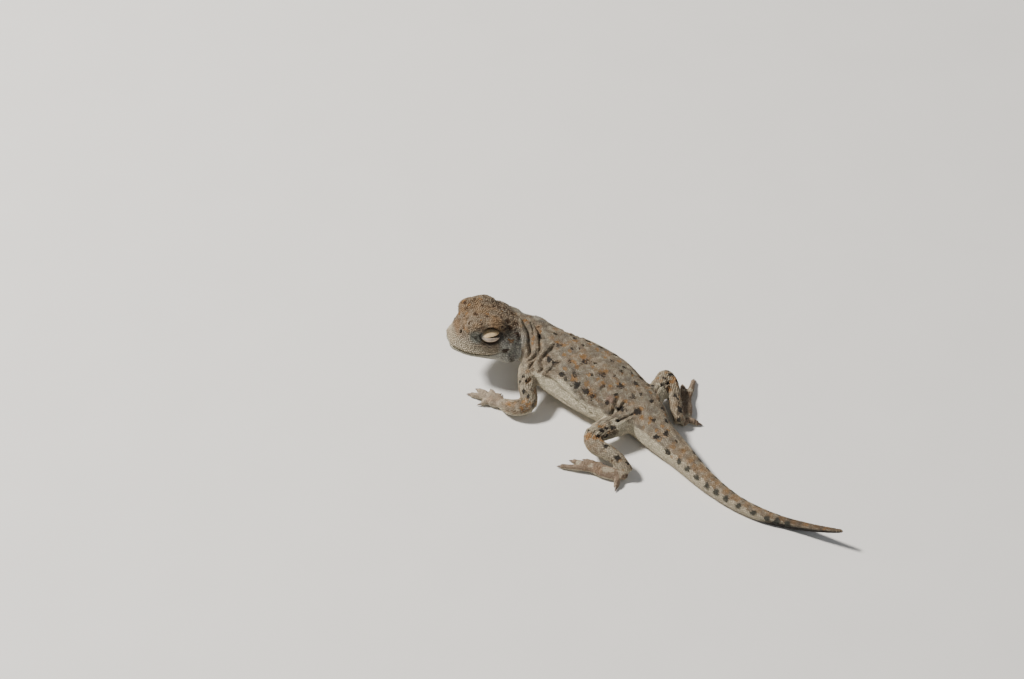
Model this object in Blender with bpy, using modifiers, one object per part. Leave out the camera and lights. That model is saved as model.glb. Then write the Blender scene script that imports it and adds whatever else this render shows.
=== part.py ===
"""A montane toad-headed agama at life size: it sits with its head turned to its left and its tail laid in a long S.

Metres, +Z up. The head end points to -X, the animal's left side is -Y, and hands, feet and tail rest at Z = 0.
The origin is under the middle of the bounding box.
"""

import math

import bmesh
import bpy
from mathutils import Matrix, Vector

MM = 0.001

# Driving dimensions, in millimetres
EYEBALL_RADIUS = 1.45
LID_THICKNESS = 0.5
GAP = 0.3
SEAM = 0.32
MOUTH_LINE = 0.34
LID_SLIT = 0.42
SKIN_VOXEL = 0.32
SKIN_TRIANGLES = 5800
ORIGIN = Vector((5.98, -1.2, 0.0))


def spot(x, y, z):
    """A point given in millimetres from the hips, in metres from the model's origin."""
    return (Vector((x, y, z)) - ORIGIN) * MM


# Neck, trunk and tail: x, y, height of the widest level, half width, rise above it, drop below it
SPINE = (
    (-35.2, -2.0, 10.6, 4.4, 4.0, 3.6),
    (-32.6, 0.2, 10.0, 5.0, 4.5, 4.0),
    (-29.6, 1.3, 9.3, 5.5, 4.6, 4.3),
    (-26.6, 1.3, 8.6, 6.1, 4.7, 4.6),
    (-24.0, 1.0, 7.8, 7.0, 5.1, 4.7),
    (-20.5, 0.7, 6.8, 8.0, 6.0, 4.7),
    (-15.0, 0.95, 5.8, 8.65, 6.4, 4.4),
    (-9.5, 0.85, 5.2, 8.6, 6.2, 4.2),
    (-4.5, 0.3, 4.6, 7.8, 5.6, 4.0),
    (0.0, -0.1, 4.3, 6.4, 5.0, 3.7),
    (4.4, -1.5, 4.0, 4.9, 4.3, 3.6),
    (8.0, -3.3, 3.7, 3.9, 3.6, 3.4),
    (14.4, -5.1, 3.0, 2.95, 2.8, 3.1),
    (20.3, -7.2, 2.5, 2.35, 2.25, 2.6),
    (26.1, -8.8, 2.05, 1.95, 1.9, 2.15),
    (32.7, -9.8, 1.65, 1.6, 1.55, 1.75),
    (38.9, -9.6, 1.4, 1.4, 1.35, 1.5),
    (44.4, -8.4, 1.2, 1.12, 1.1, 1.25),
    (47.4, -7.9, 1.6, 1.05, 1.0, 1.05),
    (50.4, -7.7, 2.5, 0.9, 0.85, 0.85),
    (54.0, -7.4, 3.8, 0.7, 0.7, 0.7),
    (57.6, -7.1, 5.3, 0.45, 0.45, 0.45),
)

# Head: distance back from the snout, half width, rise above the mouth line, drop below it
HEAD_PROFILE = (
    (0.0, 1.8, 1.4, 0.9),
    (0.5, 2.8, 2.7, 1.4),
    (1.7, 3.9, 4.8, 2.0),
    (3.6, 5.3, 7.0, 2.7),
    (6.2, 6.1, 7.8, 3.4),
    (9.4, 6.7, 7.5, 4.1),
    (12.6, 6.7, 6.4, 4.4),
    (15.2, 6.0, 5.2, 4.2),
    (17.3, 5.2, 4.6, 3.9),
)
SNOUT = Vector((-43.4, -10.5, 11.5))
HEAD_YAW = math.radians(50)
HEAD_PITCH = math.radians(8)
EYE = (7.4, 5.05, 4.9)
MOUTH_FRONT = -0.35
MOUTH_CORNER = 11.0
MOUTH_BEND = 7.6
MOUTH_RISE = math.radians(16)


def head_frame():
    """Head axes: forward along the snout, left, up, with the origin on the mouth line at the snout's tip."""
    forward = Vector((
        -math.cos(HEAD_YAW) * math.cos(HEAD_PITCH),
        -math.sin(HEAD_YAW) * math.cos(HEAD_PITCH),
        math.sin(HEAD_PITCH),
    ))
    left = Vector((0, 0, 1)).cross(forward).normalized()
    up = forward.cross(left)
    frame = Matrix((forward, left, up)).transposed().to_4x4()
    frame.translation = spot(*SNOUT)
    return frame


HEAD = head_frame()


def on_head(back, left, up):
    """A point given in millimetres back from the snout, to the left and above the mouth line."""
    return HEAD @ (Vector((-back, left, up)) * MM)


def clear_scene():
    for obj in list(bpy.data.objects):
        bpy.data.objects.remove(obj, do_unlink=True)


def new_collection(name, hidden=False):
    collection = bpy.data.collections.new(name)
    bpy.context.scene.collection.children.link(collection)
    collection.hide_render = hidden
    return collection


def add_mesh(name, bm, collection):
    mesh = bpy.data.meshes.new(name)
    bm.to_mesh(mesh)
    bm.free()
    obj = bpy.data.objects.new(name, mesh)
    collection.objects.link(obj)
    return obj


def material(name, colour, roughness=0.75):
    mat = bpy.data.materials.new(name)
    mat.use_nodes = True
    shader = mat.node_tree.nodes["Principled BSDF"]
    shader.inputs["Base Color"].default_value = (*colour, 1.0)
    shader.inputs["Roughness"].default_value = roughness
    shader.inputs["Metallic"].default_value = 0.0
    return mat


def blend_rows(rows, steps):
    """Catmull-Rom rows of numbers: each span between two rows is divided into the given steps."""
    padded = [rows[0], *rows, rows[-1]]
    blended = []
    for i in range(1, len(padded) - 2):
        for step in range(steps):
            t = step / steps
            row = []
            for a, b, c, d in zip(*padded[i - 1 : i + 3]):
                row.append(0.5 * (2 * b + (c - a) * t + (2 * a - 5 * b + 4 * c - d) * t * t
                                  + (3 * b - a - 3 * c + d) * t * t * t))
            blended.append(row)
    blended.append(list(rows[-1]))
    return blended


def ring(bm, centre, side, up, half_width, rise, drop, sides, power):
    """One rounded cross-section, squarer as the power grows."""
    verts = []
    for k in range(sides):
        angle = 2 * math.pi * k / sides
        c, s = math.cos(angle), math.sin(angle)
        across = math.copysign(abs(c) ** (2 / power), c) * half_width
        height = math.copysign(abs(s) ** (2 / power), s) * (rise if s > 0 else drop)
        verts.append(bm.verts.new(centre + side * across * MM + up * height * MM))
    return verts


def skin_rings(bm, rings):
    """Joins neighbouring rings with quads and closes both ends."""
    for first, second in zip(rings, rings[1:]):
        count = len(first)
        for k in range(count):
            n = (k + 1) % count
            bm.faces.new((first[k], first[n], second[n], second[k]))
    bm.faces.new(reversed(rings[0]))
    bm.faces.new(rings[-1])
    bmesh.ops.recalc_face_normals(bm, faces=bm.faces)


def trunk_and_tail(collection):
    rows = blend_rows(SPINE, 3)
    bm = bmesh.new()
    rings = []
    for i, (x, y, z, half_width, rise, drop) in enumerate(rows):
        before, after = rows[max(i - 1, 0)], rows[min(i + 1, len(rows) - 1)]
        along = (Vector(after[:3]) - Vector(before[:3])).normalized()
        side = Vector((0, 0, 1)).cross(along).normalized()
        up = along.cross(side)
        rings.append(ring(bm, spot(x, y, z), side, up, half_width, rise, drop, 24, 2.25))
    skin_rings(bm, rings)
    return add_mesh("trunk_and_tail", bm, collection)


def head_block(collection):
    axes = HEAD.to_3x3()
    side, up = axes.col[1], axes.col[2]
    bm = bmesh.new()
    rings = []
    for back, half_width, rise, drop in blend_rows(HEAD_PROFILE, 2):
        rings.append(ring(bm, on_head(back, 0, 0), side, up, half_width, rise, drop, 24, 2.5))
    skin_rings(bm, rings)
    return add_mesh("head_block", bm, collection)


def lump(name, centre, radii, axes, collection):
    """An ellipsoid with its three radii, in millimetres, along the columns of the given axes."""
    bm = bmesh.new()
    scale = Matrix.Diagonal((*radii, 1.0)) * MM
    scale[3][3] = 1.0
    place = Matrix.Translation(centre) @ axes.to_4x4() @ scale
    bmesh.ops.create_uvsphere(bm, u_segments=20, v_segments=12, radius=1.0, matrix=place)
    return add_mesh(name, bm, collection)


# Swellings of the head: name, back, out to each side, up, and the radii forward, sideways and up
HEAD_SWELLINGS = (
    ("brow_front", 5.1, 3.5, 6.05, 3.2, 2.3, 2.1),
    ("brow", 7.9, 3.8, 5.9, 3.5, 2.7, 2.3),
    ("temple", 12.0, 4.7, 2.4, 3.2, 2.5, 2.9),
    ("jowl", 13.0, 4.9, -1.6, 3.2, 2.3, 2.5),
    ("nostril_swelling", 1.9, 1.8, 2.9, 1.2, 1.1, 1.0),
)


def head_swellings(collection):
    axes = HEAD.to_3x3()
    for name, back, out, up, *radii in HEAD_SWELLINGS:
        for side, word in ((1, "left"), (-1, "right")):
            lump(f"{name}_{word}", on_head(back, side * out, up), radii, axes, collection)


# Lips: their distance above or below the mouth line, how far their middle lies inside the head's side, thickness
LIPS = {"upper_lip": (0.65, 0.25, 0.55), "lower_lip": (-0.6, 0.45, 0.52)}


def mouth_height(back):
    """The mouth line's height at this distance back from the snout, in millimetres."""
    return MOUTH_FRONT + max(0.0, back - MOUTH_BEND) * math.tan(MOUTH_RISE)


def lips(collection):
    """A rounded rim along each side of the mouth line, from one corner round the snout to the other."""
    side_rows = [row for row in blend_rows(HEAD_PROFILE, 3) if row[0] < MOUTH_CORNER - 0.6]
    for name, (height, inset, radius) in LIPS.items():
        run = [(back, half_width - inset) for back, half_width, rise, drop in side_rows[1:]]
        rim = [(back, out) for back, out in reversed(run)] + [(0.3, 0.0)] + [(back, -out) for back, out in run]
        stations = []
        for back, out in rim:
            place = on_head(back, out, mouth_height(back) + height) / MM + ORIGIN
            stations.append((place, radius))
        tube(name, stations, collection, sides=2)


# Limbs: the points of each run, in millimetres from the hips, and its radius there
LIMBS = {
    "arm_left": (
        ((-25.2, -2.6, 9.2), 2.5),
        ((-25.0, -6.0, 7.9), 2.2),
        ((-23.2, -9.0, 5.8), 2.0),
        ((-21.2, -11.2, 3.7), 1.9),
        ((-22.6, -13.1, 3.0), 1.9),
        ((-24.8, -13.7, 2.4), 1.75),
        ((-27.4, -13.2, 1.7), 1.25),
    ),
    "arm_right": (
        ((-24.6, 3.6, 8.2), 2.4),
        ((-24.8, 6.4, 6.6), 2.15),
        ((-24.2, 8.6, 4.9), 1.95),
        ((-23.2, 10.2, 3.4), 1.85),
        ((-24.8, 11.5, 2.8), 1.75),
        ((-27.2, 12.2, 2.2), 1.5),
        ((-29.6, 12.2, 1.7), 1.25),
    ),
    "leg_left": (
        ((1.6, -2.4, 4.8), 3.0),
        ((-0.2, -6.8, 4.9), 2.65),
        ((-2.2, -10.6, 4.9), 2.35),
        ((-3.0, -13.1, 4.5), 2.0),
        ((-1.0, -14.6, 4.1), 1.95),
        ((2.2, -14.8, 4.2), 1.75),
        ((5.4, -15.0, 3.6), 1.5),
        ((8.3, -15.7, 2.2), 1.3),
    ),
    "leg_right": (
        ((1.8, 2.2, 4.8), 2.9),
        ((1.6, 6.4, 4.8), 2.4),
        ((1.2, 9.8, 4.7), 2.15),
        ((0.6, 12.4, 4.4), 1.9),
        ((3.0, 10.9, 4.2), 1.75),
        ((6.0, 7.6, 3.8), 1.5),
        ((8.3, 5.1, 2.9), 1.35),
        ((9.7, 4.0, 2.0), 1.3),
    ),
}


def tube(name, stations, collection, sides=2, closed_radius=1.0):
    """A round run of varying thickness: a bevelled curve through the stations, as a welded mesh."""
    curve = bpy.data.curves.new(name, "CURVE")
    curve.dimensions = "3D"
    curve.bevel_depth = MM
    curve.bevel_resolution = sides
    curve.use_fill_caps = True
    spline = curve.splines.new("POLY")
    spline.points.add(len(stations) - 1)
    for point, (place, radius) in zip(spline.points, stations):
        point.co = (*spot(*place), 1.0)
        point.radius = radius * closed_radius
    guide = bpy.data.objects.new(name + "_guide", curve)
    collection.objects.link(guide)
    bpy.context.view_layer.update()
    evaluated = guide.evaluated_get(bpy.context.evaluated_depsgraph_get())
    mesh = bpy.data.meshes.new_from_object(evaluated)
    bm = bmesh.new()
    bm.from_mesh(mesh)
    bmesh.ops.remove_doubles(bm, verts=bm.verts, dist=0.01 * MM)
    bmesh.ops.recalc_face_normals(bm, faces=bm.faces)
    bpy.data.objects.remove(guide, do_unlink=True)
    bpy.data.meshes.remove(mesh)
    return add_mesh(name, bm, collection)


def limbs(collection):
    for name, stations in LIMBS.items():
        rows = blend_rows([(*place, radius) for place, radius in stations], 3)
        tube(name, [(row[:3], row[3]) for row in rows], collection, sides=4)


# Hands and feet: palm centre, heading in degrees from -X towards the animal's left, palm length and width
PALMS = {
    "hand_left": ((-29.6, -12.8), 2.0, 2.5, 1.9),
    "hand_right": ((-31.2, 12.1), 2.0, 2.5, 1.9),
    "foot_left": ((4.2, -17.4), 16.0, 4.6, 1.7),
    "foot_right": ((8.4, 8.2), -64.0, 4.6, 1.7),
}
PALM_HEIGHT = 1.15
# Digits: angle from the palm's heading towards the midline, reach from the palm's centre, root from there
HAND_DIGITS = (
    (86.0, 3.4, 0.9),
    (45.0, 4.6, 1.2),
    (13.0, 6.4, 1.6),
    (-9.0, 7.1, 1.6),
    (-44.0, 4.2, 1.2),
)
FOOT_DIGITS = (
    (32.0, 5.4, 2.0),
    (22.0, 7.6, 2.6),
    (9.0, 9.9, 3.0),
    (-5.0, 11.9, 3.0),
)
FIFTH_TOE = (-95.0, 4.4, 0.8, 2.4)
DIGIT_RADIUS = 0.68
CLAW_LENGTH = 1.1


def digit(name, root, direction, length, collection):
    """A jointed digit that arches from its root and ends in a short curved claw."""
    flesh = length - CLAW_LENGTH
    knuckle = 0.5 * flesh
    across = Vector((direction[0], direction[1], 0.0))
    start = Vector((root[0], root[1], 1.15))
    stations = [
        (start, DIGIT_RADIUS * 1.1),
        (start + across * knuckle * 0.5 + Vector((0, 0, 0.05)), DIGIT_RADIUS * 0.9),
        (start + across * knuckle + Vector((0, 0, -0.05)), DIGIT_RADIUS * 1.02),
        (start + across * flesh * 0.8 + Vector((0, 0, -0.38)), DIGIT_RADIUS * 0.84),
        (start + across * flesh + Vector((0, 0, -0.5)), DIGIT_RADIUS * 0.8),
        (start + across * (flesh + 0.12) + Vector((0, 0, -0.46)), 0.34),
        (start + across * (flesh + 0.55 * CLAW_LENGTH) + Vector((0, 0, -0.5)), 0.27),
        (start + across * length + Vector((0, 0, -0.85)), 0.1),
    ]
    return tube(name, stations, collection, sides=2)


def palms_and_digits(palm_collection, digit_collection):
    for name, ((x, y), heading, length, width) in PALMS.items():
        medial = 1 if name.endswith("left") else -1
        turn = math.radians(180 + heading)
        axes = Matrix.Rotation(turn, 3, "Z")
        centre = Vector((x, y, 0.0))
        lump(name + "_palm", spot(x, y, PALM_HEIGHT), (length, width, 1.3), axes, palm_collection)
        fans = HAND_DIGITS if name.startswith("hand") else FOOT_DIGITS
        for k, (angle, reach, root) in enumerate(fans):
            bearing = turn - math.radians(angle) * medial
            direction = Vector((math.cos(bearing), math.sin(bearing), 0.0))
            digit(f"{name}_digit_{k + 1}", centre + direction * root, direction, reach - root, digit_collection)
        if name.startswith("foot"):
            angle, reach, root, back = FIFTH_TOE
            bearing = turn - math.radians(angle) * medial
            direction = Vector((math.cos(bearing), math.sin(bearing), 0.0))
            heel = centre - Vector((math.cos(turn), math.sin(turn), 0.0)) * back
            digit(f"{name}_digit_5", heel + direction * root, direction, reach - root, digit_collection)


def baked(obj):
    """Applies the object's modifiers."""
    bpy.context.view_layer.update()
    evaluated = obj.evaluated_get(bpy.context.evaluated_depsgraph_get())
    mesh = bpy.data.meshes.new_from_object(evaluated)
    obj.modifiers.clear()
    obj.data = mesh
    return obj


def joined(name, collection, target):
    """All the collection's meshes as one mesh, which the collection then gives up."""
    bm = bmesh.new()
    for obj in collection.objects:
        bm.from_mesh(obj.data)
    result = add_mesh(name, bm, target)
    empty(collection)
    return result


def empty(collection):
    for obj in list(collection.objects):
        bpy.data.objects.remove(obj, do_unlink=True)


def rounded(name, pieces, target, smoothing):
    """One closed skin over overlapping pieces, with the creases between them smoothed out."""
    skin = joined(name, pieces, target)
    remesh = skin.modifiers.new("even", "REMESH")
    remesh.mode = "VOXEL"
    remesh.voxel_size = SKIN_VOXEL * MM
    smooth = skin.modifiers.new("soften", "SMOOTH")
    smooth.factor = 0.5
    smooth.iterations = smoothing
    return baked(skin)


def body_skin(flesh, target):
    """One rounded skin over the head, trunk and limbs, with fewer faces where it is plain."""
    body = rounded("agama_body", flesh, target, 8)
    thin = body.modifiers.new("fewer_faces", "DECIMATE")
    thin.ratio = SKIN_TRIANGLES / sum(len(p.vertices) - 2 for p in body.data.polygons)
    return baked(body)


def boolean(obj, operation, others):
    """Joins or cuts with every object of the collection in turn, which it then gives up."""
    for other in list(others.objects):
        modifier = obj.modifiers.new(operation.lower(), "BOOLEAN")
        modifier.operation = operation
        modifier.object = other
        modifier.solver = "MANIFOLD"
        baked(obj)
        bpy.data.objects.remove(other, do_unlink=True)


def slab(name, centre, normal, width, height, collection):
    """A thin cutter across the given direction."""
    bm = bmesh.new()
    bmesh.ops.create_cube(bm, size=1.0)
    turn = Vector(normal).to_track_quat("Z", "Y").to_matrix().to_4x4()
    scale = Matrix.Diagonal((width * MM, height * MM, SEAM * MM, 1.0))
    bm.transform(Matrix.Translation(centre) @ turn @ scale)
    return add_mesh(name, bm, collection)


def box(name, place, size, frame, collection):
    """A box cutter, placed and sized in millimetres in the given frame."""
    bm = bmesh.new()
    bmesh.ops.create_cube(bm, size=1.0)
    scale = Matrix.Diagonal((*(Vector(size) * MM), 1.0))
    bm.transform(frame @ Matrix.Translation(Vector(place) * MM) @ scale)
    return add_mesh(name, bm, collection)


def ball(name, centre, radius, collection, face_towards=None, depth=0.0, segments=18):
    """A ball, or only the cap of it that lies beyond the given depth on the side it faces, in millimetres."""
    bm = bmesh.new()
    bmesh.ops.create_uvsphere(bm, u_segments=segments, v_segments=segments // 2 + 2, radius=radius * MM)
    turn = HEAD.to_3x3().to_4x4()
    bm.transform(Matrix.Translation(centre) @ turn)
    if face_towards is not None:
        cut = bmesh.ops.bisect_plane(
            bm,
            geom=bm.verts[:] + bm.edges[:] + bm.faces[:],
            plane_co=centre + face_towards * depth * MM,
            plane_no=face_towards,
            clear_inner=True,
        )
        rim = [item for item in cut["geom_cut"] if isinstance(item, bmesh.types.BMEdge)]
        bmesh.ops.contextual_create(bm, geom=rim)
        bmesh.ops.recalc_face_normals(bm, faces=bm.faces)
    return add_mesh(name, bm, collection)


# Seams between nodes: centre in millimetres from the hips, the direction across it, its width and its height
SEAMS = {
    "neck_to_torso": ((-26.2, 1.2, 8.4), (1.0, 0.0, 0.0), 15.4, 18.0),
    "torso_to_tail": ((9.4, -3.6, 3.7), (1.0, -0.42, 0.0), 12.0, 12.0),
    "tail_first": ((26.8, -9.1, 2.2), (1.0, -0.23, 0.0), 8.0, 8.0),
    "tail_second": ((43.2, -8.7, 1.4), (1.0, 0.2, 0.0), 6.0, 6.0),
    "shoulder_left": ((-24.9, -6.4, 7.7), (-0.3, -0.9, -0.3), 7.0, 7.0),
    "elbow_left": ((-21.7, -11.6, 3.5), (-0.35, -0.75, -0.55), 5.2, 5.2),
    "wrist_left": ((-27.3, -13.2, 1.8), (1.0, 0.0, -0.3), 4.6, 4.6),
    "shoulder_right": ((-24.6, 8.1, 5.4), (-0.15, 0.8, -0.6), 5.6, 5.6),
    "elbow_right": ((-23.8, 10.5, 3.3), (-0.5, 0.7, -0.45), 5.2, 5.2),
    "wrist_right": ((-29.2, 12.2, 1.8), (1.0, 0.0, -0.3), 4.6, 4.6),
    "hip_left": ((-1.3, -8.6, 4.9), (-0.2, -1.0, 0.0), 7.0, 7.0),
    "knee_left": ((-2.2, -13.9, 4.3), (0.75, -0.65, -0.15), 5.6, 5.6),
    "ankle_left": ((6.8, -16.4, 2.5), (0.1, -0.7, -0.7), 8.4, 5.0),
    "hip_right": ((1.5, 7.6, 4.8), (-0.1, 1.0, 0.0), 6.6, 7.0),
    "knee_right": ((3.1, 10.4, 4.4), (0.85, 0.42, -0.1), 11.6, 5.4),
    "ankle_right": ((8.5, 5.9, 2.6), (0.75, 0.45, -0.6), 8.4, 5.0),
}
NAPE_SEAM = 14.8


def cut_body(body, cutters):
    """Parts the body at its seams and along the mouth, flattens what rests on the floor and opens the eye sockets."""
    forward = HEAD.to_3x3().col[0]
    for name, (place, across, width, height) in SEAMS.items():
        slab(name, spot(*place), across, width, height, cutters)
    slab("nape", on_head(NAPE_SEAM, 0, 0.4), forward, 18.0, 18.0, cutters)
    bend = HEAD @ Matrix.Translation((-MOUTH_BEND * MM, 0, MOUTH_FRONT * MM)) @ Matrix.Rotation(MOUTH_RISE, 4, "Y")
    behind = MOUTH_CORNER - MOUTH_BEND
    box("mouth_front", (1.0 - MOUTH_BEND / 2, 0, MOUTH_FRONT), (MOUTH_BEND + 2.0, 18.0, MOUTH_LINE), HEAD, cutters)
    box("mouth_corner", (-behind / 2, 0, 0), (behind, 18.0, MOUTH_LINE), bend, cutters)
    box("jaw_joint", (-behind, 0, -4.0), (SEAM, 18.0, 8.0 + MOUTH_LINE), bend, cutters)
    box("floor", (0, 0, -5.0), (200.0, 200.0, 10.0), Matrix.Identity(4), cutters)
    for side, word in ((1, "left"), (-1, "right")):
        centre = eye_centre(side)
        ball(f"eyeball_room_{word}", centre, EYEBALL_RADIUS + GAP, cutters)
        room = EYEBALL_RADIUS + GAP + LID_THICKNESS + GAP
        ball(f"lid_room_{word}", centre, room, cutters, eye_outward(side), LID_DEPTH - GAP)
        nostril(side, cutters)
    boolean(body, "DIFFERENCE", cutters)


# Eyes: how far out from the eyeball's centre the lids begin, and the tilt and height of their opening
LID_DEPTH = -0.3
LID_TILT = math.radians(13)
LID_LINE = 0.4


def eye_centre(side):
    back, out, up = EYE
    return on_head(back, side * out, up)


def eye_outward(side):
    return (HEAD.to_3x3() @ Vector((0.12, side, 0.18))).normalized()


def nostril(side, collection):
    """A short tapering pit that opens forwards and out on the snout."""
    bm = bmesh.new()
    bmesh.ops.create_cone(bm, cap_ends=True, segments=10, radius1=0.22 * MM, radius2=0.42 * MM, depth=1.6 * MM)
    axis = (HEAD.to_3x3() @ Vector((0.75, side * 0.55, 0.45))).normalized()
    turn = axis.to_track_quat("Z", "Y").to_matrix().to_4x4()
    bm.transform(Matrix.Translation(on_head(1.7, side * 2.0, 3.5)) @ turn)
    return add_mesh("nostril", bm, collection)


def eye_parts(model, cutters):
    """Each side's eyeball, and the two lids as thin domes over its outer half, parted by the opening."""
    for side, word in ((1, "left"), (-1, "right")):
        centre = eye_centre(side)
        outward = eye_outward(side)
        eyeball = ball(f"eye_{word}", centre, EYEBALL_RADIUS, model, segments=18)
        inner = EYEBALL_RADIUS + GAP
        lids = ball(f"lids_{word}", centre, inner + LID_THICKNESS, model, outward, LID_DEPTH)
        ball("inside", centre, inner, cutters)
        frame = HEAD.copy()
        frame.translation = centre
        tilt = Matrix.Rotation(LID_TILT, 4, "Y")
        box("opening", (0, side * 3.0, LID_LINE), (8.0, 8.0, LID_SLIT), frame @ tilt, cutters)
        boolean(lids, "DIFFERENCE", cutters)
        up = HEAD.to_3x3().col[2]
        for piece in split_loose(lids):
            above = (middle_of(piece) - centre).dot(up) > 0
            piece.name = f"{'upper' if above else 'lower'}_lid_{word}"
            piece.data.materials.append(bpy.data.materials["lid"])
        eyeball.data.materials.append(bpy.data.materials["eyeball"])


def middle_of(obj):
    total = Vector()
    for vert in obj.data.vertices:
        total += vert.co
    return total / len(obj.data.vertices)


def split_loose(obj):
    """Each closed surface of the mesh as an object of its own; loose scraps are dropped."""
    bpy.ops.object.select_all(action="DESELECT")
    obj.select_set(True)
    bpy.context.view_layer.objects.active = obj
    bpy.ops.mesh.separate(type="LOOSE")
    pieces = []
    for piece in bpy.context.selected_objects:
        if len(piece.data.vertices) < 30:
            bpy.data.objects.remove(piece, do_unlink=True)
        else:
            pieces.append(piece)
    return pieces


# Nodes of the body: the middle of each, in millimetres from the hips, and its material
NODES = {
    "neck": ((-28.6, 1.0, 9.2), "skin"),
    "torso": ((-9.0, 0.4, 5.5), "skin"),
    "tail_base": ((17.0, -6.2, 2.8), "skin"),
    "tail_middle": ((34.5, -9.8, 1.7), "skin"),
    "tail_tip": ((50.0, -7.9, 2.6), "skin"),
    "upper_arm_left": ((-23.2, -9.4, 5.6), "skin"),
    "forearm_left": ((-24.4, -13.0, 2.5), "skin"),
    "hand_left": ((-31.0, -12.8, 0.9), "skin"),
    "upper_arm_right": ((-24.2, 8.8, 5.0), "skin"),
    "forearm_right": ((-26.2, 11.8, 2.4), "skin"),
    "hand_right": ((-33.2, 12.0, 0.9), "skin"),
    "thigh_left": ((-1.6, -10.4, 4.8), "skin"),
    "shank_left": ((2.4, -15.0, 3.4), "skin"),
    "foot_left": ((2.0, -17.4, 1.0), "skin"),
    "thigh_right": ((1.4, 9.6, 4.6), "skin"),
    "shank_right": ((5.0, 8.2, 3.2), "skin"),
    "foot_right": ((7.0, 9.4, 1.0), "skin"),
}


def name_nodes(body):
    """Gives each piece of the cut body the name of the node whose middle lies nearest to its own."""
    places = {name: spot(*place) for name, (place, _) in NODES.items()}
    places["head"] = on_head(9.0, 0, 2.6)
    places["lower_jaw"] = on_head(6.5, 0, -2.0)
    pieces = split_loose(body)
    middles = {piece: middle_of(piece) for piece in pieces}
    for name, place in places.items():
        nearest = min(middles, key=lambda piece: (middles[piece] - place).length)
        nearest.name = name
        nearest.data.name = name
        nearest.data.materials.append(bpy.data.materials["skin"])
        del middles[nearest]
    for scrap in middles:
        bpy.data.objects.remove(scrap, do_unlink=True)


def main():
    clear_scene()
    material("skin", (0.42, 0.35, 0.27), 0.8)
    material("lid", (0.56, 0.48, 0.36), 0.7)
    material("eyeball", (0.012, 0.010, 0.009), 0.15)
    model = new_collection("agama")
    flesh = new_collection("flesh", hidden=True)
    swellings = new_collection("swellings", hidden=True)
    digits = new_collection("digits", hidden=True)
    cutters = new_collection("cutters", hidden=True)
    trunk_and_tail(flesh)
    head_block(swellings)
    head_swellings(swellings)
    rounded("head_skin", swellings, flesh, 26)
    lips(flesh)
    limbs(flesh)
    palms_and_digits(flesh, digits)
    body = body_skin(flesh, model)
    boolean(body, "UNION", digits)
    cut_body(body, cutters)
    name_nodes(body)
    eye_parts(model, cutters)


main()
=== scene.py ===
import math

import bmesh
import bpy
import numpy as np
from mathutils import Matrix, Vector
from mathutils.bvhtree import BVHTree
from mathutils.kdtree import KDTree


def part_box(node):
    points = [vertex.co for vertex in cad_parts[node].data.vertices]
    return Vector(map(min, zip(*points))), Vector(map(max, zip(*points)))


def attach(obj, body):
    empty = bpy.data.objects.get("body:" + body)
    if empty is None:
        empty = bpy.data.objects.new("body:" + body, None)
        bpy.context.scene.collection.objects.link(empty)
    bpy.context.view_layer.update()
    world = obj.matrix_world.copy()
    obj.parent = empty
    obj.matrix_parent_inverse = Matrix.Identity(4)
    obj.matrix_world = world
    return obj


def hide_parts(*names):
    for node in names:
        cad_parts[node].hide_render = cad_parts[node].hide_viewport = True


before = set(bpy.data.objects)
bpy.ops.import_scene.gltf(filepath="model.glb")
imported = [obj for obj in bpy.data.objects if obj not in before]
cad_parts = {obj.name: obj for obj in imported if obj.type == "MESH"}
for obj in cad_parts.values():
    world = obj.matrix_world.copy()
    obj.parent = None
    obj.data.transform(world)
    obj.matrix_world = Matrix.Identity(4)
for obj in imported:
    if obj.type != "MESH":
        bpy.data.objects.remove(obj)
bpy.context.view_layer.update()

# The lines that run through the body
# A lizard's scales, folds and markings follow its trunk, tail and limbs, so each has a smooth line through its
# middle. A place on the skin is a distance along a line and an angle round it from the back. Numbers with no
# other unit are millimetres from the hips; the meshes are in metres.
MM = 0.001
HIPS = np.array((5.98, -1.2, 0.0))
LINE_STEP = 0.5
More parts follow.
